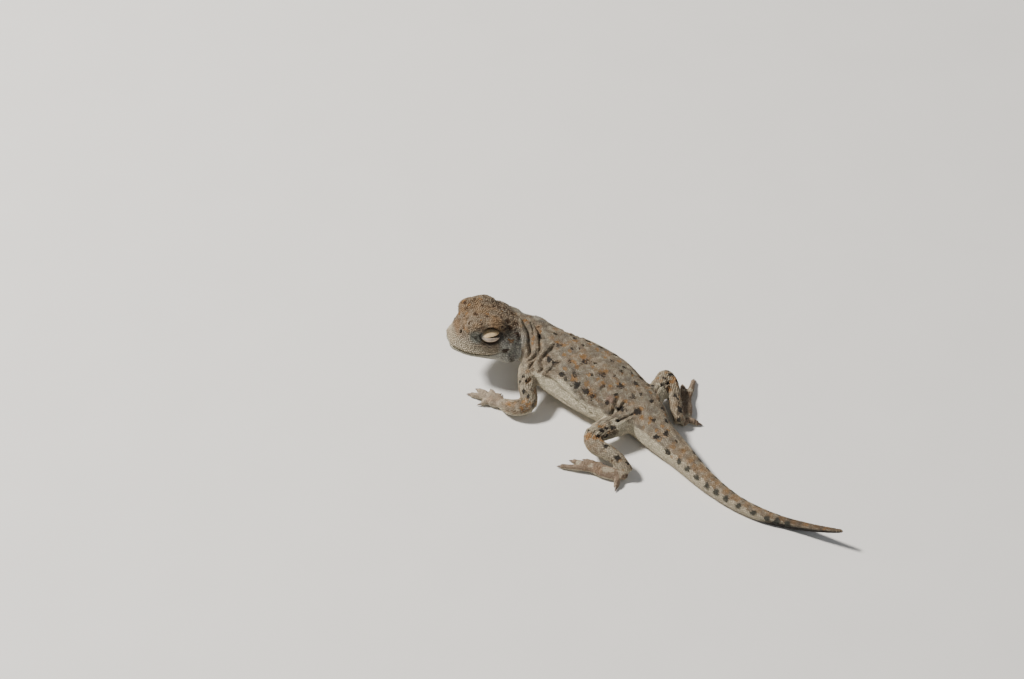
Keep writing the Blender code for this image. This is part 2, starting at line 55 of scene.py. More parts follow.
BODY_LINES = {
    "trunk": (
        (-43.0, -9.5, 11.0), (-39.0, -5.5, 11.2), (-35.2, -2.0, 10.6), (-32.6, 0.2, 10.0), (-29.6, 1.3, 9.3),
        (-26.6, 1.3, 8.6), (-24.0, 1.0, 7.8), (-20.5, 0.7, 6.8), (-15.0, 0.95, 5.8), (-9.5, 0.85, 5.2),
        (-4.5, 0.3, 4.6), (0.0, -0.1, 4.3), (4.4, -1.5, 4.0), (8.0, -3.3, 3.7), (14.4, -5.1, 3.0),
        (20.3, -7.2, 2.5), (26.1, -8.8, 2.05), (32.7, -9.8, 1.65), (38.9, -9.6, 1.4), (44.4, -8.4, 1.2),
        (47.4, -7.9, 1.6), (50.4, -7.7, 2.5), (54.0, -7.4, 3.8), (57.6, -7.1, 5.3),
    ),
    "arm_left": (
        (-25.2, -2.6, 9.2), (-25.0, -6.0, 7.9), (-23.2, -9.0, 5.8), (-21.2, -11.2, 3.7), (-22.6, -13.1, 3.0),
        (-24.8, -13.7, 2.4), (-27.4, -13.2, 1.7), (-37.0, -12.8, 0.9),
    ),
    "arm_right": (
        (-24.6, 3.6, 8.2), (-24.8, 6.4, 6.6), (-24.2, 8.6, 4.9), (-23.2, 10.2, 3.4), (-24.8, 11.5, 2.8),
        (-27.2, 12.2, 2.2), (-29.6, 12.2, 1.7), (-38.6, 11.9, 0.9),
    ),
    "leg_left": (
        (1.6, -2.4, 4.8), (-0.2, -6.8, 4.9), (-2.2, -10.6, 4.9), (-3.0, -13.1, 4.5), (-1.0, -14.6, 4.1),
        (2.2, -14.8, 4.2), (5.4, -15.0, 3.6), (8.3, -15.7, 2.2),
    ),
    "leg_right": (
        (1.8, 2.2, 4.8), (1.6, 6.4, 4.8), (1.2, 9.8, 4.7), (0.6, 12.4, 4.4), (3.0, 10.9, 4.2),
        (6.0, 7.6, 3.8), (8.3, 5.1, 2.9), (9.7, 4.0, 2.0),
    ),
    "foot_left": ((9.6, -16.0, 1.6), (4.2, -17.4, 1.2), (-6.9, -20.6, 0.8)),
    "foot_right": ((7.0, 4.6, 1.6), (8.4, 8.2, 1.2), (3.6, 19.0, 0.8)),
}
LINE_OF = {name: "trunk" for name in ("neck", "torso", "tail_base", "tail_middle", "tail_tip")}
for side in ("left", "right"):
    for limb, parts in (("arm", ("upper_arm", "forearm", "hand")), ("leg", ("thigh", "shank"))):
        for part in parts:
            LINE_OF[f"{part}_{side}"] = f"{limb}_{side}"
    LINE_OF[f"foot_{side}"] = f"foot_{side}"


def rows_of_unit_length(rows):
    return rows / np.maximum(np.linalg.norm(rows, axis=1), 1e-9)[:, None]


def smooth_path(path, steps_over):
    """The path with smooth bends between its points, in as many steps as steps_over gives for each stretch."""
    path = np.array(path)
    padded = np.vstack([2 * path[0] - path[1], path, 2 * path[-1] - path[-2]])
    points = []
    for a, b, c, d in zip(padded, padded[1:], padded[2:], padded[3:]):
        steps = steps_over(np.linalg.norm(c - b))
        for t in np.arange(steps) / steps:
            bend = (2 * a - 5 * b + 4 * c - d) * t * t + (3 * b - a - 3 * c + d) * t ** 3
            points.append(0.5 * (2 * b + (c - a) * t + bend))
    return np.array(points + [path[-1]])


class BodyLine:
    """A smooth line through the body, with the directions along, across and up at each of its points."""

    def __init__(self, stations):
        stations = np.array(stations) - HIPS
        self.points = smooth_path(stations, lambda length: max(2, int(length / LINE_STEP)))
        steps = np.linalg.norm(np.diff(self.points, axis=0), axis=1)
        self.along = np.concatenate([[0.0], np.cumsum(steps)])
        self.forward = rows_of_unit_length(np.gradient(self.points, axis=0))
        self.across = rows_of_unit_length(np.cross((0.0, 0.0, 1.0), self.forward))
        self.up = np.cross(self.forward, self.across)

    def locate(self, places):
        """How far along the line each place is, its angle from the back, and the line's direction there."""
        nearest = np.empty(len(places), int)
        for start in range(0, len(places), 20000):
            part = places[start : start + 20000]
            apart = ((part[:, None, :] - self.points[None]) ** 2).sum(axis=2)
            nearest[start : start + 20000] = apart.argmin(axis=1)
        offset = places - self.points[nearest]
        along = self.along[nearest] + (offset * self.forward[nearest]).sum(axis=1)
        sideways = (offset * self.across[nearest]).sum(axis=1)
        upward = (offset * self.up[nearest]).sum(axis=1)
        return along, np.degrees(np.arctan2(sideways, upward)), self.forward[nearest]

    def ray(self, along, angle):
        """A point of the line and the direction out from it at the given angle from the back."""
        i = int(np.abs(self.along - along).argmin())
        turn = math.radians(angle)
        return self.points[i], self.up[i] * math.cos(turn) + self.across[i] * math.sin(turn)


LINES = {name: BodyLine(stations) for name, stations in BODY_LINES.items()}

# The head's own axes
# The head is turned to its left and tipped up a little. Places on it are given back from the snout, to the left
# and above the level of the mouth.
SNOUT = np.array((-43.4, -10.5, 11.5)) - HIPS
HEAD_YAW = math.radians(50)
HEAD_PITCH = math.radians(8)
HEAD_FORWARD = np.array((
    -math.cos(HEAD_YAW) * math.cos(HEAD_PITCH),
    -math.sin(HEAD_YAW) * math.cos(HEAD_PITCH),
    math.sin(HEAD_PITCH),
))
HEAD_LEFT = np.array((HEAD_FORWARD[1], -HEAD_FORWARD[0], 0.0)) * -1 / math.cos(HEAD_PITCH)
HEAD_UP = np.cross(HEAD_FORWARD, HEAD_LEFT)
HEAD_AXES = np.array((-HEAD_FORWARD, HEAD_LEFT, HEAD_UP))
MOUTH_FRONT = -0.35
MOUTH_BEND = 7.6
MOUTH_CORNER = 10.8
MOUTH_RISE = math.tan(math.radians(16))


def on_head(back, left, up):
    return SNOUT + np.array((back, left, up)) @ HEAD_AXES


def from_head(places):
    """The places as distances back from the snout, to the left and up, one column each."""
    return ((places - SNOUT) @ HEAD_AXES.T).T


def mouth_height(back):
    return MOUTH_FRONT + np.maximum(0.0, back - MOUTH_BEND) * MOUTH_RISE


# The skin
# One loose, thin skin covers head, trunk, tail and limbs without a seam. It is cast over the solids: their
# copies swell until the cuts between them close, are made one even surface, and shrink back to size.
FLESH = [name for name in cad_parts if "eye" not in name and "lid" not in name]
SWELL = 0.2
SKIN_GRAIN = 0.2
SKIN_TRIANGLES = 90000
EYE = (7.4, 5.05, 4.9)


def new_piece(name, bm, material=None):
    mesh = bpy.data.meshes.new(name)
    bm.to_mesh(mesh)
    bm.free()
    return new_object(name, mesh, material)


def new_object(name, mesh, material=None):
    piece = bpy.data.objects.new(name, mesh)
    bpy.context.scene.collection.objects.link(piece)
    mesh.shade_smooth()
    if material:
        mesh.materials.append(material)
    return piece


def baked(piece):
    """The piece with its modifiers made part of its mesh."""
    bpy.context.view_layer.update()
    evaluated = piece.evaluated_get(bpy.context.evaluated_depsgraph_get())
    mesh = bpy.data.meshes.new_from_object(evaluated)
    piece.modifiers.clear()
    piece.data = mesh
    return piece


def places_of(mesh):
    """The mesh's vertices, in millimetres."""
    places = np.empty(len(mesh.vertices) * 3, np.float32)
    mesh.vertices.foreach_get("co", places)
    return places.reshape(-1, 3).astype(float) / MM


def normals_of(mesh):
    normals = np.empty(len(mesh.vertices) * 3, np.float32)
    mesh.vertex_normals.foreach_get("vector", normals)
    return normals.reshape(-1, 3).astype(float)


def move_to(mesh, places):
    mesh.vertices.foreach_set("co", (places * MM).astype(np.float32).ravel())
    mesh.update()


flesh = bmesh.new()
for name in FLESH:
    flesh.from_mesh(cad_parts[name].data)
bmesh.ops.remove_doubles(flesh, verts=flesh.verts, dist=0.001 * MM)
flesh.normal_update()
for vertex in flesh.verts:
    vertex.co += vertex.normal * SWELL * MM
skin = new_piece("skin", flesh)
even = skin.modifiers.new("even", "REMESH")
even.mode = "VOXEL"
even.voxel_size = SKIN_GRAIN * MM
shrink = skin.modifiers.new("shrink", "DISPLACE")
shrink.strength = -SWELL * MM
shrink.mid_level = 0.0
soften = skin.modifiers.new("soften", "SMOOTH")
soften.factor = 0.5
soften.iterations = 6
baked(skin)
fewer = skin.modifiers.new("fewer", "DECIMATE")
fewer.ratio = SKIN_TRIANGLES / (2 * len(skin.data.polygons))
baked(skin)



def mesh_tree(mesh):
    """A search tree of the mesh's faces."""
    bm = bmesh.new()
    bm.from_mesh(mesh)
    tree = BVHTree.FromBMesh(bm)
    bm.free()
    return tree


NODE_TREES = [mesh_tree(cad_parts[name].data) for name in FLESH]
NODE_BOXES = [[np.array(corner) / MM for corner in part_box(name)] for name in FLESH]


def names_at(places):
    """The name of the flesh node nearest to each place."""
    nearest = np.zeros(len(places), int)
    best = np.full(len(places), 1e9)
    for number, (tree, (low, high)) in enumerate(zip(NODE_TREES, NODE_BOXES)):
        outside = np.maximum(np.maximum(low - places, places - high), 0.0)
        for i in np.nonzero(np.linalg.norm(outside, axis=1) < np.minimum(best, 1.5))[0]:
            hit = tree.find_nearest(Vector(places[i] * MM), min(best[i], 3.0) * MM)
            if hit[0] is not None and hit[3] / MM < best[i]:
                best[i] = hit[3] / MM
                nearest[i] = number
    return np.array(FLESH)[nearest]


# Mouth, nostrils, sockets, folds and the tips of the digits
# The mouth is shut along a fine line under the lips. Loose skin lies in folds behind the head, over the
# shoulder, along the flank and before the thigh, and is drawn in round the bulging eyes. All are pressed into
# the skin, and its digits draw in where their claws grow out.
LIP_GROOVE = 0.11
LIP_DEPTH = 0.34
NOSTRIL = (1.45, 2.3, 3.9)
FINE_ZONE = 0.9
FOLD_ZONE = 1.1


def refine(mesh, wanted):
    """Halves the edges whose two ends are both wanted."""
    bm = bmesh.new()
    bm.from_mesh(mesh)
    edges = [edge for edge in bm.edges if wanted[edge.verts[0].index] and wanted[edge.verts[1].index]]
    bmesh.ops.subdivide_edges(bm, edges=edges, cuts=1, use_grid_fill=True)
    bmesh.ops.triangulate(bm, faces=bm.faces)
    bm.to_mesh(mesh)
    bm.free()
    mesh.shade_smooth()


def smoothstep(low, high, value):
    t = np.clip((value - low) / (high - low), 0.0, 1.0)
    return t * t * (3 - 2 * t)


def bell(distance, width):
    return np.exp(-((distance / width) ** 2))


def distance_to_path(places, path):
    """Each place's distance to a path of points, and how far along it the nearest point is, from 0 to 1."""
    path = np.array(path)
    lengths = np.linalg.norm(np.diff(path, axis=0), axis=1)
    starts = np.concatenate([[0.0], np.cumsum(lengths)])
    best = np.full(len(places), 1e9)
    along = np.zeros(len(places))
    for a, b, start, length in zip(path, path[1:], starts, lengths):
        t = np.clip(((places - a) @ (b - a)) / length ** 2, 0.0, 1.0)
        apart = np.linalg.norm(places - (a + t[:, None] * (b - a)), axis=1)
        closer = apart < best
        best[closer] = apart[closer]
        along[closer] = ((start + t * length) / starts[-1])[closer]
    return best, along


def rounded_path(path):
    return smooth_path(path, lambda length: 6)


def from_face_spot(places, spot, side):
    """Each place's distance to a spot of the face given back, out and up, on one side."""
    return np.linalg.norm(places - on_head(spot[0], side * spot[1], spot[2]), axis=1)


def on_skin(line, along, angle):
    """The place on the skin at this distance along a body line and this angle from the back."""
    start, out = LINES[line].ray(along, angle)
    hit = skin_tree.ray_cast(Vector(start * MM), Vector(out))
    if hit[0] is None:
        return start + out
    return np.array(hit[0]) / MM


# Each fold: its half width, its depth, how much the skin beside it swells, and its course on the left side
FOLDS = (
    (0.85, -0.45, 0.00, ((13.8, -36), (14.3, -8), (15.0, 20), (16.8, 48), (18.4, 68), (18.6, 90))),
    (0.34, 1.10, 0.05, ((13.2, -28), (14.1, -9), (15.6, 7), (16.9, 23), (19.2, 43), (21.0, 65), (20.9, 80))),
    (0.22, 0.60, 0.09, ((16.3, -12), (18.2, 12), (19.0, 26))),
    (0.30, 1.05, 0.15, ((17.0, -20), (17.7, -8), (19.5, 5), (20.8, 21), (22.1, 37), (22.8, 58), (22.4, 74))),
    (0.24, 0.60, 0.10, ((22.9, 28), (23.1, 35), (23.6, 54), (23.3, 69), (23.9, 78))),
    (0.34, 1.05, 0.15, ((23.8, -3), (24.2, 28), (24.4, 48), (25.1, 58), (25.9, 67), (25.4, 90))),
    (0.26, 0.60, 0.11, ((28.6, 32), (28.2, 39), (27.5, 52), (27.1, 68))),
    (0.22, 0.35, 0.07, ((33.1, 3), (33.0, 19), (32.2, 44))),
    (0.22, 0.38, 0.07, ((40.4, 24), (41.0, 40), (41.0, 57))),
    (0.32, 0.95, 0.14, ((44.6, 26), (45.2, 48), (45.9, 66), (46.6, 86))),
    (0.26, 0.60, 0.11, ((47.3, 34), (47.5, 48), (47.2, 62))),
    (0.24, 0.40, 0.12, ((51.4, 38), (50.9, 52), (50.2, 70))),
    (0.20, 0.30, 0.08, ((49.2, 56), (48.6, 70), (48.2, 82))),
    (0.30, 0.60, 0.15, ((25.9, 73), (29.0, 71), (32.0, 74), (35.5, 78), (39.3, 82), (42.0, 86), (46.0, 84))),
    (0.22, 0.36, 0.08, ((31.0, 90), (36.0, 95), (40.5, 99))),
    (0.22, 0.30, 0.06, ((35.8, 60), (37.8, 66), (39.6, 74))),
)
THROAT_FOLD = (0.40, 0.60, 0.25, ((21.5, 96), (21.8, 125), (21.8, 155), (21.8, 180), (21.8, 205), (21.8, 262)))
# The folds of the right side are shallower and keep off the back
RIGHT_EASE = 0.7
RIGHT_FROM = 45
# On the head: half width, depth, and the course back, out and up on each side
HEAD_FOLDS = (
    (0.70, 0.95, ((14.3, 5.6, 4.2), (13.5, 6.6, 2.4), (13.2, 6.7, 0.4), (12.9, 6.8, -0.8), (13.2, 6.3, -2.6))),
    (0.18, 0.28, ((2.6, 4.0, 4.6), (3.2, 4.5, 5.0), (3.5, 5.1, 5.8), (4.2, 5.4, 6.6), (5.2, 5.6, 6.9))),
    (0.20, 0.30, ((3.0, 4.3, 4.4), (3.6, 4.8, 4.1), (4.3, 5.1, 3.7), (5.4, 5.6, 3.1), (6.6, 5.8, 2.4))),
    (0.80, 0.25, ((3.9, 5.0, 5.2), (5.2, 5.4, 4.6))),
    (0.24, -0.22, ((4.2, 5.2, 2.9), (5.6, 5.8, 2.2), (7.6, 6.3, 1.7), (9.2, 6.4, 1.9))),
    (0.38, -0.38, (
        (4.6, 4.6, 5.3), (5.6, 4.6, 5.9), (6.8, 4.6, 6.3), (8.2, 4.6, 6.3), (9.6, 4.8, 6.0), (11.2, 5.2, 5.4),
    )),
)


def near_path(places, path, reach):
    """The numbers of the places within reach of a path, and their distance to it and place along it."""
    low, high = path.min(axis=0) - reach, path.max(axis=0) + reach
    near = np.nonzero(((places > low) & (places < high)).all(axis=1))[0]
    apart, along = distance_to_path(places[near], path)
    return near, apart, along


def press(places, normals, path, width, depth, swell):
    """Sinks a groove into the skin along the path and lets the skin beside it swell."""
    near, apart, along = near_path(places, path, 5 * width + 0.3)
    fade = smoothstep(0.0, 0.16, along) * smoothstep(0.0, 0.16, 1.0 - along)
    groove = np.exp(-((apart / width) ** 1.6))
    shift = (swell * bell(apart - 2.6 * width, 1.3 * width) - depth * groove) * fade
    places[near] += normals[near] * shift[:, None]


def fold_shadow(places):
    """How deep each place lies in a fold, from 0 to 1."""
    deep = np.zeros(len(places))
    for path, width, depth, swell in fold_paths:
        near, apart, along = near_path(places, path, 2 * width)
        fade = smoothstep(0.0, 0.12, along) * smoothstep(0.0, 0.12, 1.0 - along)
        deep[near] = np.maximum(deep[near], bell(apart, 0.85 * width) * fade * min(1.0, depth / 0.6))
    return deep


# The lids fill an oval opening that faces out and up. Its middle is given back, out and up, and its half sizes
# forward, backward, upward and downward. Its front corner is pointed, its rear one blunt.
LID_MIDDLE = (7.45, 5.35, 4.85)
OPENING_FACING = (0.723, 0.691)
OPENING = (2.3, 3.4, 1.25, 2.5)
SOCKET_FLOOR = -0.55


def in_opening(places, side):
    """How far across the opening each place lies, 1 at the rim, its height there and how far up it is."""
    back, left, up = from_head(places)
    behind, out, above = back - LID_MIDDLE[0], side * left - LID_MIDDLE[1], up - LID_MIDDLE[2]
    across = OPENING_FACING[0] * above - OPENING_FACING[1] * out
    height = OPENING_FACING[0] * out + OPENING_FACING[1] * above
    lengthwise = behind / np.where(behind < 0, OPENING[0], OPENING[1])
    crosswise = across / np.where(across > 0, OPENING[2], OPENING[3])
    bend = np.where(behind < 0, 1.7, 2.5)
    share = (np.abs(lengthwise) ** bend + np.abs(crosswise) ** bend) ** (1 / bend)
    return np.where((height > -3.0) & (out > -3.0), share, 9.0), height, across


def open_socket(places):
    """Sinks the skin inside each opening to the socket's floor, which lies deeper under the lower lid."""
    for side in (1, -1):
        share, height, across = in_opening(places, side)
        floor = SOCKET_FLOOR - 0.25 * np.maximum(0.0, -across)
        soft = smoothstep(0.0, 1.5, -across)
        sink = np.maximum(0.0, height - floor) * smoothstep(1.03 + 0.12 * soft, 0.88 - 0.25 * soft, share)
        facing = side * OPENING_FACING[0] * HEAD_LEFT + OPENING_FACING[1] * HEAD_UP
        places -= sink[:, None] * facing


def shape_face(places, normals):
    """Lips, nostrils and the drawn-in skin round the eyes, on both sides of the head."""
    back, left, up = from_head(places)
    level = up - mouth_height(back)
    reach = (back > -1.0) * smoothstep(MOUTH_CORNER + 0.3, MOUTH_CORNER - 0.8, back)
    shift = -LIP_DEPTH * bell(level, LIP_GROOVE) * reach
    shift += 0.14 * bell(level - 0.62, 0.34) * reach
    shift += 0.08 * bell(level + 0.55, 0.3) * reach
    for side in (1, -1):
        nostril = from_face_spot(places, NOSTRIL, side)
        shift += 0.18 * bell(nostril - 0.66, 0.22) - 0.9 * bell(nostril, 0.38)
    places += normals * shift[:, None]


# Each hand and foot: its palm's middle and heading; then each digit's angle and reach from there
PALMS = {
    "hand_left": ((-29.6, -12.8), 2.0),
    "hand_right": ((-31.2, 12.1), 2.0),
    "foot_left": ((4.2, -17.4), 16.0),
    "foot_right": ((8.4, 8.2), -64.0),
}
HAND_DIGITS = ((86.0, 3.4), (45.0, 4.6), (13.0, 6.4), (-9.0, 7.1), (-44.0, 4.2))
FOOT_DIGITS = ((32.0, 5.4), (22.0, 7.6), (9.0, 9.9), (-5.0, 11.9))
FIFTH_TOE = (-95.0, 4.4, 2.4)
CLAW_LENGTH = 1.2
CLAW_DROP = 0.35
TIP_HEIGHT = 0.3


# The tip and the direction of every digit
DIGIT_TIPS = []
for name, (middle, heading) in PALMS.items():
    inner = 1 if name.endswith("left") else -1
    turn = math.radians(180 + heading)
    centre = np.array((*middle, TIP_HEIGHT)) - HIPS
    digits = [(*digit, 0.0) for digit in (HAND_DIGITS if "hand" in name else FOOT_DIGITS)]
    if "foot" in name:
        digits.append(FIFTH_TOE)
    for angle, reach, heel in digits:
        bearing = turn - math.radians(angle) * inner
        direction = np.array((math.cos(bearing), math.sin(bearing), 0.0))
        root = centre - np.array((math.cos(turn), math.sin(turn), 0.0)) * heel
        DIGIT_TIPS.append((root + direction * reach, direction))


def along_claws(places):
    """How far each place lies on a claw, from 0 to 1, and the nearest point of that claw's middle."""
    share = np.zeros(len(places))
    middle = places.copy()
    for tip, direction in DIGIT_TIPS:
        root = tip - direction * CLAW_LENGTH + (0.0, 0.0, CLAW_DROP)
        t = np.clip((places - root) @ direction / CLAW_LENGTH, 0.0, 1.2)
        on_claw = root + t[:, None] * (tip - root)
        near = np.linalg.norm(places - on_claw, axis=1) < 0.6
        share[near] = smoothstep(0.08, 0.24, t[near])
        middle[near] = on_claw[near]
    return share, middle


def nearest_on_skin(place):
    return np.array(skin_tree.find_nearest(Vector(place * MM))[0]) / MM


def body_path(course, side):
    """A course of distances along the trunk and angles from the back, laid on the skin of one side."""
    return rounded_path([on_skin("trunk", along, -side * angle) for along, angle in course])


skin_tree = mesh_tree(skin.data)
fold_paths = []
for width, depth, swell, course in FOLDS:
    fold_paths.append((body_path(course, 1), width, depth, swell))
    right_course = [(along, angle) for along, angle in course if angle > RIGHT_FROM]
    if len(right_course) > 1:
        fold_paths.append((body_path(right_course, -1), width, depth * RIGHT_EASE, swell * RIGHT_EASE))
width, depth, swell, course = THROAT_FOLD
fold_paths.append((body_path(course, 1), width, depth, swell))
for width, depth, course in HEAD_FOLDS:
    for side in (1, -1):
        path = [nearest_on_skin(on_head(back, side * out, up)) for back, out, up in course]
        fold_paths.append((rounded_path(path), width, depth, 0.0))

places = places_of(skin.data)
back, left, up = from_head(places)
fine = (np.abs(up - mouth_height(back)) < FINE_ZONE) & (back > -1.0) & (back < MOUTH_CORNER)
for path, width, depth, swell in fold_paths:
    near, apart, along = near_path(places, path, FOLD_ZONE)
    fine[near[apart < FOLD_ZONE]] = True
for side in (1, -1):
    for spot, reach in ((NOSTRIL, 1.2), (EYE, 3.4)):
        fine |= from_face_spot(places, spot, side) < reach
refine(skin.data, fine)
places = places_of(skin.data)
normals = normals_of(skin.data)
for path, width, depth, swell in fold_paths:
    press(places, normals, path, width, depth, swell)
shape_face(places, normals)
open_socket(places)
share, middle = along_claws(places)
places += (middle - places) * (0.75 * share)[:, None]
# The paths of the hollows behind the jaws, kept for their painted shade
hollow_paths = [path for path, width, depth, swell in fold_paths if width == HEAD_FOLDS[0][0]]
fold_paths = [fold for fold in fold_paths if fold[2] > 0.25 and fold[1] < 0.6]
places[:, 2] = np.maximum(places[:, 2], 0.02)
move_to(skin.data, places)
skin_tree = mesh_tree(skin.data)

# Colours and markings of the skin and its scales
# Back and head are a sandy grey and tan with rough rows of black spots beside rusty ones; belly, lips and the
# sides of the tail are cream. A scale takes the colour of the skin under its root, so both carry one pattern.
SAND = (0.275, 0.215, 0.150)
ASH = (0.185, 0.162, 0.128)
CREAM = (0.60, 0.535, 0.395)
CHALK = (0.52, 0.51, 0.455)
TAN = (0.295, 0.192, 0.106)
RUST = (0.325, 0.165, 0.058)
ROSE = (0.30, 0.195, 0.145)
SOOT = (0.022, 0.020, 0.019)
UMBER = (0.065, 0.036, 0.020)
SLATE = (0.270, 0.275, 0.235)
OLIVE = (0.17, 0.145, 0.035)
PINKISH = (0.27, 0.19, 0.135)
PAINTED_FOLD_SHADE = (0.060, 0.043, 0.028)
PALM = (0.41, 0.33, 0.25)
BLOTCH = (0.0486, 0.0495, 0.0423)

# Black spots of the trunk and tail: along, angle from the back with the left side first, radius
BLACK_SPOTS = (
    (20.2, 9, 0.5), (24.9, 2, 0.7), (28.4, -4, 0.4), (30.0, -28, 0.4), (30.3, -14, 0.3), (26.0, 44, 0.65),
    (27.1, 43, 0.45), (30.3, 26, 0.4), (33.0, 10, 0.65), (35.9, 0, 0.35), (30.1, 54, 0.7), (33.4, 43, 0.6),
    (36.6, 28, 0.42), (38.6, 12, 0.75), (40.6, -4, 0.35), (35.1, 57, 0.8), (31.6, 58, 0.4), (38.2, 56, 0.75),
    (40.7, 33, 0.4), (40.4, 59, 0.6), (43.8, 9, 0.7), (44.1, 33, 0.4), (47.6, 11, 0.62), (48.4, -11, 0.35),
    (45.7, -28, 0.6), (40.8, -25, 0.5), (40.5, -39, 0.4), (42.3, -45, 0.4), (37.6, -31, 0.45), (48.0, 52, 0.65),
    (51.6, 32, 0.85), (50.9, -22, 0.5), (55.1, 8, 0.65), (46.4, 55, 0.4), (59.5, 8, 0.58), (43.7, 55, 0.55),
    (58.2, 45, 0.55), (62.5, 60, 0.6), (62.3, -7, 0.3), (52.8, -46, 0.5), (56.4, -36, 0.5), (33.4, -52, 0.6),
    (36.8, -55, 0.65), (29.8, -50, 0.55), (26.4, -40, 0.55), (44.6, -56, 0.6), (22.4, -24, 0.4),
)
RUSTY_SPOTS = (
    (15.5, -5, 0.5), (19.6, 0, 0.42), (19.7, 29, 0.42), (20.2, 42, 0.36), (23.8, -4, 0.42), (25.8, -4, 0.55),
    (28.1, 18, 0.5), (28.7, 4, 0.42), (32.3, 1, 0.7), (31.1, 23, 0.5), (29.8, 43, 0.5), (32.7, 30, 0.42),
    (35.7, 11, 0.42), (36.2, 31, 0.42), (33.8, 50, 0.7), (37.6, 11, 0.55), (38.9, 2, 0.6), (38.9, 29, 0.42),
    (37.2, 47, 0.7), (40.2, 28, 0.4), (39.2, 57, 0.6), (40.8, 56, 0.42), (42.0, 24, 0.42), (42.9, 8, 0.4),
    (44.0, 0, 0.42), (46.3, -23, 0.42), (44.8, 36, 0.42), (47.2, 34, 0.42), (43.2, -40, 0.42),
    (41.4, -23, 0.36),
    (36.5, -28, 0.42), (33.1, -36, 0.5), (54.6, 13, 0.55), (53.4, 32, 0.42), (51.5, 20, 0.5), (51.3, 39, 0.42),
    (55.6, 25, 0.42), (54.2, -47, 0.4), (57.2, 22, 0.36), (57.5, -4, 0.34), (58.9, -12, 0.3), (59.7, 45, 0.36),
    (63.1, 25, 0.45), (65.4, 3, 0.55), (64.1, 66, 0.35), (69.5, 13, 0.5), (68.6, 0, 0.42), (71.5, 4, 0.5),
    (75.1, -2, 0.55), (79.0, 2, 0.5), (82.6, 0, 0.5), (86.4, 0, 0.5), (48.8, -40, 0.5), (35.0, -46, 0.6),
    (38.6, -44, 0.55), (31.0, -42, 0.55), (27.6, -32, 0.5),
)
ROSE_PATCH = (43.6, 48, 1.0)
# Along each side of the tail runs a row of round blotches
TAIL_BLOTCHES = (66.4, 69.2, 71.9, 75.0, 77.8, 80.4, 83.3, 86.7, 90.0, 92.4, 94.6)
TAIL_BLOTCH_GAP = 2.82
TAIL_BLOTCH_ANGLE = 56
TAIL_BLOTCH_RADIUS = 0.72
TAIL_BLACK_FROM = 93.0
# Where the pale flank begins: an angle from the back for each distance along the trunk
PALE_EDGE_ALONG = (21.0, 24.0, 26.0, 28.0, 29.7, 32.0, 34.8, 37.2, 39.8, 42.6, 46.0, 50.0, 58.0, 66.0, 100.0)
PALE_EDGE = (96.0, 84.0, 74.0, 70.0, 62.0, 59.0, 63.0, 70.0, 74.0, 71.0, 74.0, 66.0, 58.0, 42.0, 46.0)
# Specks on the head: back, left, up and radius
HEAD_SPECKS = (
    (3.4, -3.1, 7.6, 0.34), (5.9, -3.8, 8.0, 0.26), (7.1, -1.7, 7.7, 0.3), (9.8, -1.4, 7.3, 0.3),
    (11.1, -1.6, 6.8, 0.34), (4.8, 0.5, 7.4, 0.34), (2.8, -0.4, 6.1, 0.28), (5.0, 2.2, 7.7, 0.26),
    (7.3, 2.4, 7.8, 0.28), (9.0, 2.4, 7.7, 0.26), (2.8, 3.1, 7.2, 0.26), (5.2, 4.5, 7.8, 0.24),
    (12.5, -1.7, 6.3, 0.3), (10.7, 1.9, 7.0, 0.26), (14.0, -0.1, 5.7, 0.4), (12.1, 2.9, 6.2, 0.4),
    (14.0, 2.7, 5.4, 0.42), (12.3, 4.3, 5.5, 0.45), (10.5, 5.3, 6.1, 0.3), (13.8, 5.4, 4.5, 0.42),
    (12.7, 0.1, 6.3, 0.26), (9.9, 5.3, 7.0, 0.26), (4.0, -5.0, 7.0, 0.3), (8.2, -4.6, 7.6, 0.28),
    (12.2, -4.4, 5.6, 0.42), (14.0, -4.6, 4.6, 0.4), (10.6, -5.2, 6.0, 0.3), (11.0, 6.6, 0.9, 0.6),
    (11.0, -6.6, 0.9, 0.6),
)
HEAD_RUST = (
    (3.1, -3.9, 7.5, 0.42), (2.1, -2.4, 5.0, 0.32), (3.4, -0.6, 6.4, 0.3), (4.2, -2.3, 7.6, 0.3),
    (12.1, 6.8, 3.8, 0.5), (7.1, -3.5, 8.0, 0.36), (7.4, 1.3, 7.8, 0.3), (11.4, 0.2, 6.8, 0.3),
    (5.4, 3.4, 8.0, 0.3), (12.1, -6.8, 3.8, 0.45), (2.0, 2.6, 4.8, 0.3),
)
# Spots of the limbs: which limb, along, angle, radius
LIMB_SPOTS = (
    ("leg", 9.8, 36, 0.42), ("leg", 8.7, 39, 0.3), ("leg", 7.1, 48, 0.46), ("leg", 12.7, 34, 0.36),
    ("leg", 8.9, 80, 0.36), ("leg", 17.3, -2, 0.6), ("leg", 20.3, -26, 0.62), ("leg", 5.6, 20, 0.4),
    ("leg", 22.6, 20, 0.5), ("arm", 5.7, -27, 0.4), ("arm", 6.6, -57, 0.45), ("arm", 6.6, -9, 0.3),
    ("arm", 9.2, -41, 0.4), ("arm", 10.3, -14, 0.44), ("leg", 11.2, -30, 0.4), ("leg", 14.6, 60, 0.4),
)
LIMB_RUST = (
    ("leg", 12.3, -31, 0.8), ("leg", 7.9, 57, 0.36), ("leg", 9.4, 7, 0.4), ("leg", 10.8, 55, 0.4),
    ("leg", 13.4, 10, 0.6), ("arm", 11.9, 38, 0.55), ("arm", 13.6, 50, 0.5), ("arm", 12.6, 5, 0.35),
    ("leg", 15.5, 35, 0.45), ("arm", 16.0, 30, 0.4),
)


def spot_places(spots):
    return [(on_skin("trunk", along, -angle), radius) for along, angle, radius in spots]


def head_spot_places(spots):
    return [(nearest_on_skin(on_head(back, left, up)), radius) for back, left, up, radius in spots]


